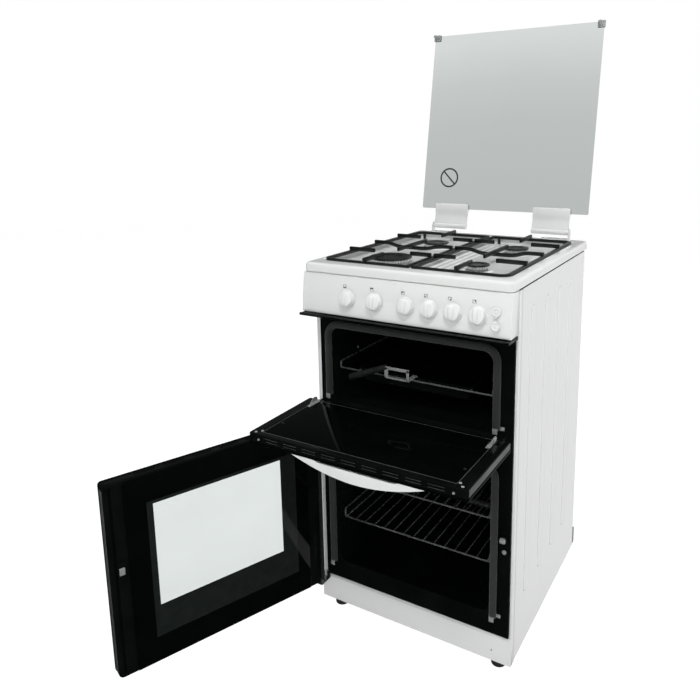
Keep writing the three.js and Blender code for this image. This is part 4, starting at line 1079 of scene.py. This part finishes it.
for fid, fx, fy in (("front_left", -212, 26), ("front_right", 212, 26), ("rear_left", -212, 488), ("rear_right", 212, 488)):
    prof = [(0, 0), (14.6, 0), (16.2, 0.5), (17, 1.8), (17, 7.6), (16.4, 9.2), (14.6, 11.4), (13, 12.4), (9.4, 13.6), (8, 14.4), (8, 23.9), (0, 23.9)]
    make("level_foot_" + fid, lathe(prof, 40, wave=lambda i, a, k: (-0.5 if i in (3, 4) and k % 4 == 0 else 0)).at(fx, fy, 0), "foot_plastic", node="foot_" + fid, smooth=40)


# -------------------------------------------------------- front frame, ovens
def oval(c_x, z0, z1, r, e=0.0, n=8):
    rs = [max(q - e, 0.6) if e >= 0 else q - e for q in (r if isinstance(r, (list, tuple)) else [r] * 4)]
    return rrect(-c_x + e, z0 + e, c_x - e, z1 - e, rs, n)


def front_frame():
    s = Shape()
    y = -1.5
    top = xz(oval(199, 564, 752, [6, 6, 24, 24], -1.5), y)
    main = xz(oval(198, 140, 506, 24, -1.5), y)
    outer = [xz(rrect(-236, 91.2, 243, 776, 2, 3), yy) for yy in (-0.1, y)]
    s.loft(outer)
    s.fill([outer[-1], top, main], (0, -1, 0))
    for cx, z0, z1, r in ((199, 564, 752, [6, 6, 24, 24]), (198, 140, 506, 24)):
        rings = [xz(oval(cx, z0, z1, r, e), yy) for e, yy in ((-1.5, -1.5), (-0.7, -1.35), (-0.15, -0.9), (0, -0.2), (0, 0.4))]
        s.loft(rings)
    return s


make("face_frame", front_frame(), "frame_enamel", node="front_frame", solid=0.0, outward=(0, -1, 0), smooth=35)
# hinge lugs and brackets of the frame
lug = Shape()
for sx in (-1, 1):
    lug.join(extrude([(-44.6, 552), (-43, 550.6), (-5, 550.6), (-1.6, 553), (-1.6, 564), (-34, 565.4), (-43, 565.2), (-44.8, 562)], lambda p, x: yz(p, x), 226.1 if sx > 0 else -229.9, 229.9 if sx > 0 else -226.1))
for z, w in ((519.0, 1.8), (81.4, 1.8)):
    lug.join(extrude(rrect(-247.8, -40.8, -226, -1.7 if z > 300 else -4.8, 4, 4), lambda p, v: xy(p, v), z, z + w))
lug.join(lathe([(0, 509.5), (2.4, 509.5), (2.9, 510.2), (2.9, 519.5), (0, 519.5)], 20).at(-243, -34.5, 0))
lug.join(lathe([(0, 82), (2.9, 82), (2.9, 92.2), (2.4, 92.8), (0, 92.8)], 20).at(-243, -34.5, 0))
lug.join(block(-235.8, -226.2, -6.3, -4.7, 83.2, 98.8), block(-235.8, -226.2, -6.3, -1.4, 93.2, 98.8))
make("frame_brackets", lug, "steel_screw", slot="bright_chrome", smooth=35, bevel=0.3)


def cavity(cx, z0, z1, r, depth=430):
    s = Shape()
    rr = [(0, 0.7), (0, depth - 16)]
    rings = [xz(rrect(-cx - 12.5, z0 - 9.5, cx + 12.5, z1 + 9.5, 8, 8), 0.6)]
    rings += [xz(oval(cx, z0, z1, r, -1.2), 0.6), xz(oval(cx, z0, z1, r, -0.3), 0.9), xz(oval(cx, z0, z1, r, 0), 1.8), xz(oval(cx, z0, z1, r, 0), depth - 16)]
    for k in range(1, 7):
        a = math.radians(90 * k / 6)
        rings.append(xz(oval(cx, z0, z1, r, 16 * (1 - math.cos(a))), depth - 16 + 16 * math.sin(a)))
    s.loft(rings)
    back = rings[-1]
    emb = rrect(-cx + 60, z0 + 45, cx - 60, z1 - 45, 18, 6)
    s.fill([back, xz(emb, depth)], (0, -1, 0))
    er = [xz(rrect(-cx + 60 + e, z0 + 45 + e, cx - 60 - e, z1 - 45 - e, max(2, 18 - e), 6), depth - h) for e, h in ((0, 0), (1.5, 0.6), (3, 2.2), (4.5, 3.4), (6, 3.8))]
    s.loft(er)
    s.fill([er[-1]], (0, -1, 0))
    return s


def ridges(cx, zs):
    s = Shape()
    sec = [(0, -2.8), (0.8, -2.7), (3.0, -1.8), (4.4, -0.6), (4.6, 0.2), (3.6, 1.4), (1.4, 2.4), (0, 2.6)]
    for z in zs:
        for sx in (-1, 1):
            rings = []
            for y, k in ((18, 0.05), (20, 0.6), (24, 0.95), (28, 1), (400, 1), (404, 0.95), (408, 0.6), (410, 0.05)):
                rings.append([(sx * (cx + 0.4 - u * k), y, z - 2.5 + w) for u, w in sec])
            s.loft(rings, start=True, end=True)
    return s


make("top_oven_lining", cavity(199, 564, 752, [6, 6, 24, 24]), "cavity_enamel", node="top_oven_liner", solid=1.0, outward=(0, -1, 0), smooth=35)
make("main_oven_lining", cavity(198, 140, 506, 24), "cavity_enamel", node="main_oven_liner", solid=1.0, outward=(0, -1, 0), smooth=35)
make("top_oven_runners", ridges(199, [650.8]), "cavity_enamel", smooth=40)
make("main_oven_runners", ridges(198, [266.6, 318, 372.6, 424]), "cavity_enamel", smooth=40)


# seals: a soft sleeve with a flat face, its ends tucked under clips
def seal(z_top, z_low):
    pts = [(-208.5, -9.9, z_low), (-208.5, -9.9, z_top), (208.5, -9.9, z_top), (208.5, -9.9, z_low)]
    P = [Vector(p) for p in pts]
    path = [P[0]]
    n = 26
    for k in range(1, n):
        path.append(P[0].lerp(Vector((-208.5, -9.9, z_top - 30)), k / n))
    for (c, a0) in ((Vector((-178.5, -9.9, z_top - 30)), math.pi), (Vector((178.5, -9.9, z_top - 30)), math.pi / 2)):
        for k in range(11):
            a = a0 - math.pi / 2 * k / 10
            path.append(c + Vector((30 * math.cos(a), 0, 30 * math.sin(a))))
        if a0 == math.pi:
            for k in range(1, n):
                path.append(Vector((-178.5, -9.9, z_top)).lerp(Vector((178.5, -9.9, z_top)), k / n))
    for k in range(1, n + 1):
        path.append(Vector((208.5, -9.9, z_top - 30)).lerp(P[3], k / n))
    sec = []
    for k in range(28):
        a = 2 * math.pi * k / 28
        u, w = math.cos(a), math.sin(a)
        r = 1.0 - 0.07 * math.exp(-((math.degrees(a) - 270) / 11) ** 2) - 0.05 * math.exp(-((math.degrees(a) - 232) / 8) ** 2) - 0.05 * math.exp(-((math.degrees(a) - 308) / 8) ** 2)
        sec.append((8.0 * r * (abs(u) ** 0.85) * (1 if u > 0 else -1), 7.9 * r * (abs(w) ** 0.9) * (1 if w > 0 else -1)))
    return sweep(path, sec, up=(0, 1, 0), taper=1.6)


make("top_oven_seal", seal(753, 577.5), "door_seal", node="top_oven_gasket", smooth=60)
make("main_oven_seal", seal(496, 138.5), "door_seal", node="main_oven_gasket", smooth=60)
clips = Shape()
for z in (577, 138):
    for sx in (-1, 1):
        c = extrude([(-18.2, z - 6), (-18.2, z + 4.5), (-16.4, z + 6), (-2.2, z + 6), (-2.2, z + 4.8), (-16.2, z + 4.6), (-17.0, z + 4), (-17.0, z - 6)], lambda p, x: yz(p, x), sx * 214, sx * 203)
        c.join(lathe([(0, 0), (2.6, 0), (2.6, 0.8), (1.2, 1.6), (0, 1.7)], 16).moved(Matrix.Translation((sx * 220, -1.6, z + 2)) @ Matrix.Rotation(math.pi / 2, 4, "X")))
        c.join(block(min(sx * 214, sx * 224), max(sx * 214, sx * 224), -2.6, -1.6, z - 2, z + 6))
        clips.join(c)
make("seal_clips", clips, "bright_chrome", smooth=35, bevel=0.25)

# catch: plate, sprung jaws and roller
cat = Shape()
cat.join(extrude(rrect(220.2, 288.2, 239.8, 349.8, 4, 4), lambda p, v: xz(p, v), -1.8, -3.1))
cat.join(extrude(rrect(222.6, 326, 224.4, 340, 0.8, 2), lambda p, v: xz(p, v), -2.8, -15.6), extrude(rrect(235.1, 326, 236.9, 340, 0.8, 2), lambda p, v: xz(p, v), -2.8, -15.6))
make("catch_plate", cat, "frame_enamel", node="door_catch", smooth=35, bevel=0.3, slot="bright_chrome")
rol = lathe([(0, -6.4), (3.0, -6.4), (5.2, -5.6), (6.0, -4.4), (6.0, 4.4), (5.2, 5.6), (3.0, 6.4), (0, 6.4)], 32).moved(Matrix.Translation((229.8, -15, 333)) @ Matrix.Rotation(math.pi / 2, 4, "Y"))
rol.join(lathe([(0, 0), (5, 0), (5, 2.2), (3.4, 4.2), (0, 4.8)], 24).moved(Matrix.Translation((230, -3, 300)) @ Matrix.Rotation(math.pi / 2, 4, "X")))
make("catch_roller", rol, "bright_chrome", smooth=50)


def screw(r=3.4, h=1.5):
    """A pan head with a cross recess, its seat at z = 0."""
    prof = [(0, -0.4), (r, -0.4), (r, h * 0.45), (r * 0.93, h * 0.72), (r * 0.74, h * 0.93), (r * 0.6, h), (r * 0.36, h - 0.35), (r * 0.3, h - 0.9), (0, h - 1.0)]
    return lathe(prof, 32, wave=lambda i, a, k: (r * 0.2 * math.cos(4 * a) if i in (5, 6) else 0))


def turn(axis, deg):
    return Matrix.Rotation(math.radians(deg), 4, axis)


# --------------------------------------------------------------------- the lid
make("lid_pane", extrude(rrect(-245, 51, 245, 561, [4, 4, 7, 7], 8), lambda p, n: xz(p, n), 5, 9), "lid_glass", "lid", node="lid_glass", matrix=LID_M, bevel=0.7, seg=3, smooth=35)
for side, sx in (("left", -1), ("right", 1)):
    prof = [(-2.5, 3), (-2.0, 6), (-0.6, 14), (0.4, 20), (1.3, 26), (1.8, 30), (1.5, 34.5), (0.6, 38), (-0.6, 43), (-1.5, 46.5), (-2.1, 52), (-2.4, 58), (-2.4, 62.5), (-1.9, 64.4), (-0.9, 65.3), (0.4, 65.5), (4.7, 65.5), (4.7, 50.7), (9.3, 50.7), (9.3, 63), (10.6, 63.2), (11.2, 62.2), (11.2, 47.6), (10.6, 45.6), (8.5, 42), (6.8, 36), (5.4, 30), (4.7, 24), (4.2, 18), (3.6, 10), (3.2, 3)]
    a, b = sorted((sx * 96.5, sx * 198.5))
    c = extrude(prof, lambda p, v: yz(p, v), a, b)
    c.join(lathe([(0, a), (5.9, a), (6.6, a + 0.7), (6.6, b - 0.7), (5.9, b), (0, b)], 36).moved(turn("Y", 90)))
    make("lid_hinge_" + side, c, "white_plastic", "lid", node="lid_hinge_cover_" + side, matrix=LID_M, bevel=0.5, seg=2, smooth=40)
    # corner bumper: clip round the corner and a stub leg
    o = block(*sorted((sx * 228, sx * 247.6)), 2.4, 4.7, 546, 563.6)
    o.join(block(*sorted((sx * 228, sx * 247.6)), 9.3, 11.6, 546, 563.6), block(*sorted((sx * 245.3, sx * 247.6)), 3.0, 11.0, 546, 563.6), block(*sorted((sx * 228, sx * 246)), 3.0, 11.0, 561.3, 563.6))
    o.join(lathe([(0, 0.6), (5.0, 0.6), (5.6, 0), (5.0, -15.6), (4.4, -17.6), (3.2, -19.0), (0, -19.4)], 28).moved(Matrix.Translation((sx * 238, 2.6, 555)) @ turn("X", -90)))
    make("lid_buffer_" + side, o, "bumper_rubber", "lid", node="lid_bumper_" + side, matrix=LID_M, remesh=0.7, relax=3, smooth=180)
    refine("lid_bracket_" + side, "white_enamel", 0.5)

# plain prohibition mark printed on the pane
ringR, ringW = 28.5, 4.6
mk = Shape()
n = 72
o_, i_ = [(ringR * math.cos(2 * math.pi * k / n), ringR * math.sin(2 * math.pi * k / n)) for k in range(n)], [((ringR - ringW) * math.cos(2 * math.pi * k / n), (ringR - ringW) * math.sin(2 * math.pi * k / n)) for k in range(n)]
mk.loft([xz(i_, 4.95), xz(o_, 4.95), xz(o_, 4.86), xz(i_, 4.86)], loop=True)
h_, w_ = ringR - ringW + 0.8, 2.2
mk.join(extrude([(-h_, -w_), (h_, -w_), (h_, w_), (-h_, w_)], lambda p, v: xz(p, v), 4.95, 4.86).moved(turn("Y", 45)))
mk = mk.at(-165, 0, 142)
M["lid_print"] = shade([(0.03, 0.034, 0.033), (0.05, 0.055, 0.054)], 200, (0.35, 0.5), 200, bumps=((900, 2, 0.1, 0.0001),), name="lid_print")
make("lid_symbol", mk, M["lid_print"], "lid", slot="black_enamel", matrix=LID_M, smooth=30)

# -------------------------------------------------------------------- handles
HX, HL, HD, HP = 14, 152, 29.2, 1.9


def crescent(inset=0.0, n=48, lift=0.0):
    """Outline of the pull's bow in (x, out); inset moves the curve inwards."""
    pts = []
    for k in range(n + 1):
        x = -HL + 2 * HL * k / n
        u = abs(x / HL)
        z = HD * (1 - u ** HP)
        slope = HD * HP / HL * u ** (HP - 1)
        z -= inset * math.sqrt(1 + slope * slope)
        pts.append((x, z))
    return pts


def pull(plate):
    outer = [(x, z) for x, z in crescent() if z > 0.15]
    outer = [(-HL + 0.5, 0.0)] + outer + [(HL - 0.5, 0.0)]
    body = extrude(outer, lambda p, v: xy(p, v), 0, 24)
    inner = [(x, z) for x, z in crescent(5.0) if z > 0.6]
    x0, x1 = inner[0][0], inner[-1][0]
    tool = extrude([(x0 - 3, -3)] + [(x0 - 1.5, 0.2)] + inner + [(x1 + 1.5, 0.2), (x1 + 3, -3)], lambda p, v: xy(p, v), plate, 40)
    slot = extrude([(-98, -3), (-96, 0.5), (-88, 3.4), (-78, 4.4), (78, 4.4), (88, 3.4), (96, 0.5), (98, -3)], lambda p, v: xy(p, v), -5, plate + 2)
    return body, [tool, slot]


TOP_PULL = Matrix.Translation((HX, -254, 548.7)) @ Matrix(((1, 0, 0, 0), (0, 0, 1, 0), (0, -1, 0, 0), (0, 0, 0, 1)))
MAIN_PULL = Matrix.Translation((HX, -50.3, 502)) @ Matrix(((1, 0, 0, 0), (0, -1, 0, 0), (0, 0, -1, 0), (0, 0, 0, 1)))
body, tool = pull(5)
make("top_door_pull", body, "white_plastic", "top_door", node="top_door_handle", matrix=TOP_PULL, cutters=tool, bevel=1.0, seg=3, smooth=40)
body, tool = pull(4)
make("main_door_pull", body, "white_plastic", "main_door", node="main_door_handle", matrix=DOOR_M @ MAIN_PULL, cutters=tool, bevel=1.0, seg=3, smooth=40)


# ------------------------------------------------------------------- top door
def pillow(x0, y0, x1, y1, r, z0, z1, e, n=6, both=False):
    s = Shape()
    rings = []
    if both:
        for k in range(5):
            a = math.radians(90 * k / 4)
            q = e * (1 - math.sin(a))
            rings.append(xy(rrect(x0 + q, y0 + q, x1 - q, y1 - q, max(r - q, 0.5), n), z0 + e * (1 - math.cos(a))))
    else:
        rings.append(xy(rrect(x0, y0, x1, y1, r, n), z0))
    for k in range(5):
        a = math.radians(90 * k / 4)
        q = e * (1 - math.cos(a))
        rings.append(xy(rrect(x0 + q, y0 + q, x1 - q, y1 - q, max(r - q, 0.5), n), z1 - e + e * math.sin(a)))
    return s.loft(rings, start=True, end=True)


notch = Shape()
for sx in (-1, 1):
    notch.join(block(*sorted((sx * 224.6, sx * 231.4)), -62, -30, 540, 590))
make("top_door_outer_pane", extrude(rrect(-250, -255, 250, -34, [7, 7, 3, 3], 8), lambda p, v: xy(p, v), 549, 553), "door_glass", "top_door", node="top_door_outer_glass", cutters=notch, bevel=0.6, seg=2, smooth=35)
tool = Shape().join(notch)
tool.join(extrude(rrect(-223.2, -240.2, 223.2, -42.8, 3.4, 5), lambda p, v: xy(p, v), 566.7, 580))
for i in range(9):
    cx = -188 + 47 * i
    for zz in (556.7, 562.7):
        tool.join(extrude(rrect(cx - 17, zz, cx + 17, zz + 2.6, 1.25, 4), lambda p, v: xz(p, v), -246, -262))
make("top_door_shell", pillow(-249, -254, 249, -35, 6, 553.3, 571, 1.4), "frame_enamel", "top_door", node="top_door_frame", slot="black_enamel", cutters=tool, bevel=0.3, seg=2, smooth=35)
make("top_door_inner_pane", extrude(rrect(-222.6, -239.6, 222.6, -43.4, 3, 6), lambda p, v: xy(p, v), 567, 571), "door_glass", "top_door", node="top_door_inner_glass", bevel=0.9, seg=3, smooth=35)
# painted highlight: a thin lighter grey ring round the inner pane, for the light caught by its glass edge
rim = Shape()
rim.loft([xy(rrect(-222.9 + e, -239.9 + e, 222.9 - e, -43.1 - e, 3.2 - min(e, 1), 6), z) for e, z in ((0, 570.9), (0.1, 571.25), (1.2, 571.25), (1.3, 571.05))], loop=True)
# lighter grey used on black enamel parts for painted highlights and painted reflections
M["edge_painted_highlight"] = shade([(0.10, 0.108, 0.106), (0.15, 0.16, 0.157)], 30, (0.3, 0.42), 60, metal=0.5, bumps=((500, 2, 0.08, 0.0001),), name="edge_painted_highlight")
# painted reflection: grey strips on the door's glossy black sides, where they reflect the bright surroundings
side_reflection_strips = Shape()
for sx in (-1, 1):
    side_reflection_strips.join(block(*sorted((sx * 248.6, sx * 249.75)), -248, -38, 555.6, 569.0))
make("top_door_pane_rim_highlight", rim, M["edge_painted_highlight"], "top_door", slot="black_enamel", smooth=35)
# painted highlight: thin lighter strips along the upper lip of each vent slot
louvre_highlights = Shape()
for i in range(9):
    cx = -188 + 47 * i
    for zz in (556.7, 562.7):
        louvre_highlights.join(block(cx - 16.6, cx + 16.6, -253.6, -252.9, zz + 1.5, zz + 2.5))
make("top_door_louvre_highlights", louvre_highlights, M["edge_painted_highlight"], "top_door", slot="black_enamel", bevel=0.2, smooth=35)
make("top_door_side_reflections", side_reflection_strips, M["edge_painted_highlight"], "top_door", slot="black_enamel", bevel=0.3, smooth=35)
fit = Shape()
for sx in (-1, 1):
    for x, y in ((226.6, -235), (235.5, -245.4)):
        fit.join(screw(3.0, 1.4).at(sx * x, y, 571))
    fit.join(screw(2.6, 1.2).moved(Matrix.Translation((sx * 222, -254, 560)) @ turn("X", 90)))
    lo, hi = sorted((sx * 213.5, sx * 222.6))
    fit.join(pillow(lo, -84, hi, -43, 2, 570.6, 572.2, 0.5, 4))
    lo, hi = sorted((sx * 220.9, sx * 222.5))
    fit.join(extrude([(-72, 571.4), (-43.4, 571.4), (-43.4, 578), (-46, 581.6), (-52, 583.4), (-60, 582.4), (-69, 575.4)], yz, lo, hi))
    fit.join(screw(2.2, 1.1).at(sx * 217.4, -77, 572.1))
make("top_door_fittings", fit, "bright_chrome", "top_door", slot="bright_chrome", smooth=40)
dots = Shape()
for sx in (-1, 1):
    dots.join(lathe([(0, 571.0), (3.0, 571.0), (3.0, 571.5), (2.4, 572.0), (0, 572.0)], 20).at(sx * 213, -183, 0))
make("top_door_spacers", dots, "grip_plastic", "top_door", smooth=40)


# ------------------------------------------------------------------ main door
def row(x, y, z):
    """Cabinet millimetres to metres in the row frame; None passes through."""
    return (None if x is None else (x + OX) / 1000, None if y is None else (y + OY) / 1000, None if z is None else z / 1000)


WINDOW = (row(-143.5, None, 215), row(153, None, 449))
BORDER = (row(-181, None, 146), row(166, None, 456))
M["main_outer_glass"] = printed_glass("main_outer_glass", window=(row(-170, None, 186), row(176, None, 474)))
M["main_inner_glass"] = printed_glass("main_inner_glass", window=WINDOW, border=BORDER)
make("main_door_outer_pane", extrude(rrect(-249, 84, 249, 518, [7, 14, 7, 7], 8), lambda p, v: xz(p, v), -50, -46), M["main_outer_glass"], "main_door", node="main_door_outer_glass", slot="door_glass", placed=DOOR_M, bevel=0.6, seg=2, smooth=35)
make("main_door_inner_pane", extrude(rrect(-214.5, 88, 209.5, 510, 2, 4), lambda p, v: xz(p, v), -24.7, -20.7), M["main_inner_glass"], "main_door", node="main_door_inner_glass", slot="door_glass", placed=DOOR_M, bevel=0.9, seg=3, smooth=35)
tool = Shape()
tool.join(extrude(rrect(-205, 118, 188, 486, 6, 5), lambda p, v: xz(p, v), -80, 0))
tool.join(extrude(rrect(232, 93, 237.5, 509, 2.6, 5), lambda p, v: xz(p, v), -31, 0))
for i in range(6):
    cx = -150 + 62 * i
    for yy in (-41.7, -35.2):
        tool.join(extrude(rrect(cx - 22, yy, cx + 22, yy + 3.0, 1.45, 4), lambda p, v: xy(p, v), 508, 530))
shell = pillow(-248, 25, 248, 45.7, 5, 85, 517, 1.4)
shell = Shape()
rings = []
for y, q in ((-45.7, 0.5), (-45.4, 0.1), (-45.2, 0), (-27, 0), (-26.2, 0.25), (-25.5, 0.8), (-25.0, 1.9)):
    rings.append(xz(rrect(-248 + q, 85 + q, 248 - q, 517 - q, [5, 12, 5, 5], 6), y))
shell.loft(rings, start=True, end=True)
make("main_door_shell", shell, "frame_enamel", "main_door", node="main_door_frame", slot="black_enamel", matrix=DOOR_M, cutters=tool, bevel=0.3, seg=2, smooth=35)
lp = extrude(rrect(212, 312, 230.5, 344, 2, 4), lambda p, v: xz(p, v), -24.7, -23.5)
for z in (296.5, 351.5):
    lp.join(screw(2.6, 1.3).moved(Matrix.Translation((223.5, -25, z)) @ turn("X", -90)))
for x, z in ((242.5, 96), (242.5, 506), (-240, 96), (-232, 503)):
    lp.join(screw(2.8, 1.3).moved(Matrix.Translation((x, -25, z)) @ turn("X", -90)))
make("main_door_latch_plate", lp, "frame_enamel", "main_door", matrix=DOOR_M, bevel=0.2, smooth=40)
la = extrude([(-23.7, 316.5), (-23.7, 332.5), (-21.9, 332.5), (-21.2, 331), (-21.2, 318), (-21.9, 316.5)], lambda p, v: yz(p, v), 218.5, 229.5)
make("main_door_fittings", la, "bright_chrome", "main_door", node="main_door_latch", matrix=DOOR_M, bevel=0.2, smooth=40)
guard = block(-247.6, -246.0, -25.2, -9.5, 94, 508)
make("main_door_hinge_guard", guard, "foot_plastic", "main_door", matrix=DOOR_M, bevel=0.5, smooth=35)
# painted reflection: a grey strip on the door's glossy black side, where it reflects the bright surroundings
side = block(247.6, 248.75, -43.5, -27.5, 98, 505)
make("main_door_side_reflection", side, M["edge_painted_highlight"], "main_door", slot="black_enamel", matrix=DOOR_M, bevel=0.3, smooth=35)


# -------------------------------------------------------------------- shelves
def rack(zc, rail_x, deck_x, y0, y1, rise, n, r=2.2):
    s = Shape()
    zr = zc + rise
    for sx in (-1, 1):
        # one bent wire each side: rail above, dropping at both ends to the deck
        s.join(wire([(sx * (rail_x - 3), y0 + 3.0, zc), (sx * (rail_x - 3), y0 + 3.0, zr - 1), (sx * rail_x, y0 + 7, zr), (sx * rail_x, y1 - 7, zr), (sx * (rail_x - 3), y1 - 3.0, zr - 1), (sx * (rail_x - 3), y1 - 3.0, zc)], r, 10, 3.2, 4))
    for y in (y0 + r, y1 - r):
        s.join(wire([(-rail_x + 3, y, zc), (rail_x - 3, y, zc)], r, 10, 0))
    for i in range(n + 2):
        x = -deck_x + 2 * deck_x * i / (n + 1)
        w = 1.8 if i in (0, n + 1) else 1.25
        s.join(wire([(x, y0 + r, zc + w - 0.2), (x, y1 - r, zc + w - 0.2)], w, 8, 0))
    return s


for sid, zc in (("upper", 358), ("lower", 252)):
    make("rack_" + sid, rack(zc, 193, 185, 14, 404, 17.4, 13), "shelf_chrome", "oven_shelf_" + sid, node="oven_shelf_" + sid, slot="bright_chrome", smooth=60)

zc, r = 641, 2.1
g = Shape()
for sx in (-1, 1):
    g.join(wire([(sx * 191, 15, zc), (sx * 191, 15, zc + 11.5), (sx * 194.8, 20, zc + 12.6), (sx * 194.8, 388, zc + 12.6), (sx * 191, 393, zc + 11.5), (sx * 191, 393, zc)], r, 10, 3, 4))
    g.join(wire([(sx * 139, 14.4, zc), (sx * 139, 393.6, zc)], r, 10, 0))
for y in (14.2, 393.8):
    g.join(wire([(-191, y, zc), (191, y, zc)], r, 10, 0))
make("grill_rack", g, "shelf_chrome", "grill_shelf", node="grill_shelf", slot="bright_chrome", smooth=60)

p = Shape()
R2 = lambda q, z: xy(rrect(-133.4 + q, 20.6 + q, 133.4 - q, 341.4 - q, max(10 - q, 2), 8), z)
rim = lambda q, z: xy(rrect(-146 + q, 19 + q * 0.1, 146 - q, 350 - q * 0.5, 12, 8), z)
p.loft([rim(0, 643.6), rim(-0.1, 644.4), rim(0.4, 645.0), rim(2, 645.1), R2(-1.6, 645.0), R2(-0.5, 644.6), R2(0, 643.6), R2(0, 624), R2(0.8, 620.5), R2(2.6, 618), R2(5, 617.2)])
p.fill([R2(5, 617.2)], (0, 0, 1))
make("grill_tray", p, "cavity_enamel", "grill_pan", node="grill_pan", solid=1.0, outward=(0, 0, 1), smooth=40)
gr = sweep([(-152, -8, 630), (-149, -8, 631.2), (-120, -8, 643.1), (-90, -8, 655.4), (-60, -8, 667.7), (-52, -8, 671)], round_section(1, 20))
base = Vector((-152, -8, 630))
axis = (Vector((-52, -8, 671)) - base)
L = axis.length
q = Vector((0, 0, 1)).rotation_difference(axis.normalized()).to_matrix().to_4x4()
gr = lathe([(0, 0), (5.4, 0.2), (7.2, 1.3), (8.0, 3.2), (8.2, 6), (8.05, 20), (7.6, 50), (7.1, 80), (6.8, L - 8), (6.8, L - 2), (6.2, L - 0.5), (4, L), (0, L)], 32, wave=lambda i, a, k: -0.25 if i in (5, 6, 7) and k % 4 == 0 else 0).moved(Matrix.Translation(base) @ q)
make("grill_pan_grip", gr, "grip_plastic", "grill_pan", node="grill_pan_handle", smooth=50)
cl = Shape()
cl.join(block(-54, 6, -13, -11.6, 667, 674), block(-54, 6, -13, -11.6, 646.2, 650), block(-1, 6, -13, -11.6, 648, 672), block(-56, -47, -13, -11.6, 648, 672))
cl.join(block(-6, 6, -12.4, 30, 646.3, 647.5), block(-6, 6, 28.8, 30, 636, 647.5))
make("grill_pan_clasp", cl, "bright_chrome", "grill_pan", slot="bright_chrome", bevel=0.35, smooth=40)

# small fittings on the wall of the grill compartment
fx = Shape()
for y, z in ((25, 735), (104, 664), (276, 612)):
    fx.join(screw(3.2, 2.0).moved(Matrix.Translation((-199, y, z)) @ turn("Y", 90)))
    fx.join(screw(3.2, 2.0).moved(Matrix.Translation((199, y, z)) @ turn("Y", -90)))
make("oven_wall_screws", fx, "bright_chrome", smooth=40)

# ------------------------------------------------------- back, base, inner works
refine("back_panel", "galvanised", 0.4)
refine("base_pan", "galvanised", 0.3)
refine("gas_manifold", "tap_aluminium", 0.4)
refine("grill_burner", "tap_aluminium", 0.4)
refine("oven_burner", "tap_aluminium", 0.4)
bs = Shape()
for x, z in ((-230, 90), (230, 90), (-230, 480), (230, 480), (-230, 850), (180, 850), (-100, 850), (100, 90), (-100, 90)):
    bs.join(screw(3.6, 1.6).moved(Matrix.Translation((x, 518.4, z)) @ turn("X", -90)))
for x in (-210, -70, 70, 210):
    bs.join(screw(3.6, 1.6).moved(Matrix.Translation((x, 537, 47)) @ turn("X", -90)))
make("back_screws", bs, "steel_screw", smooth=40)
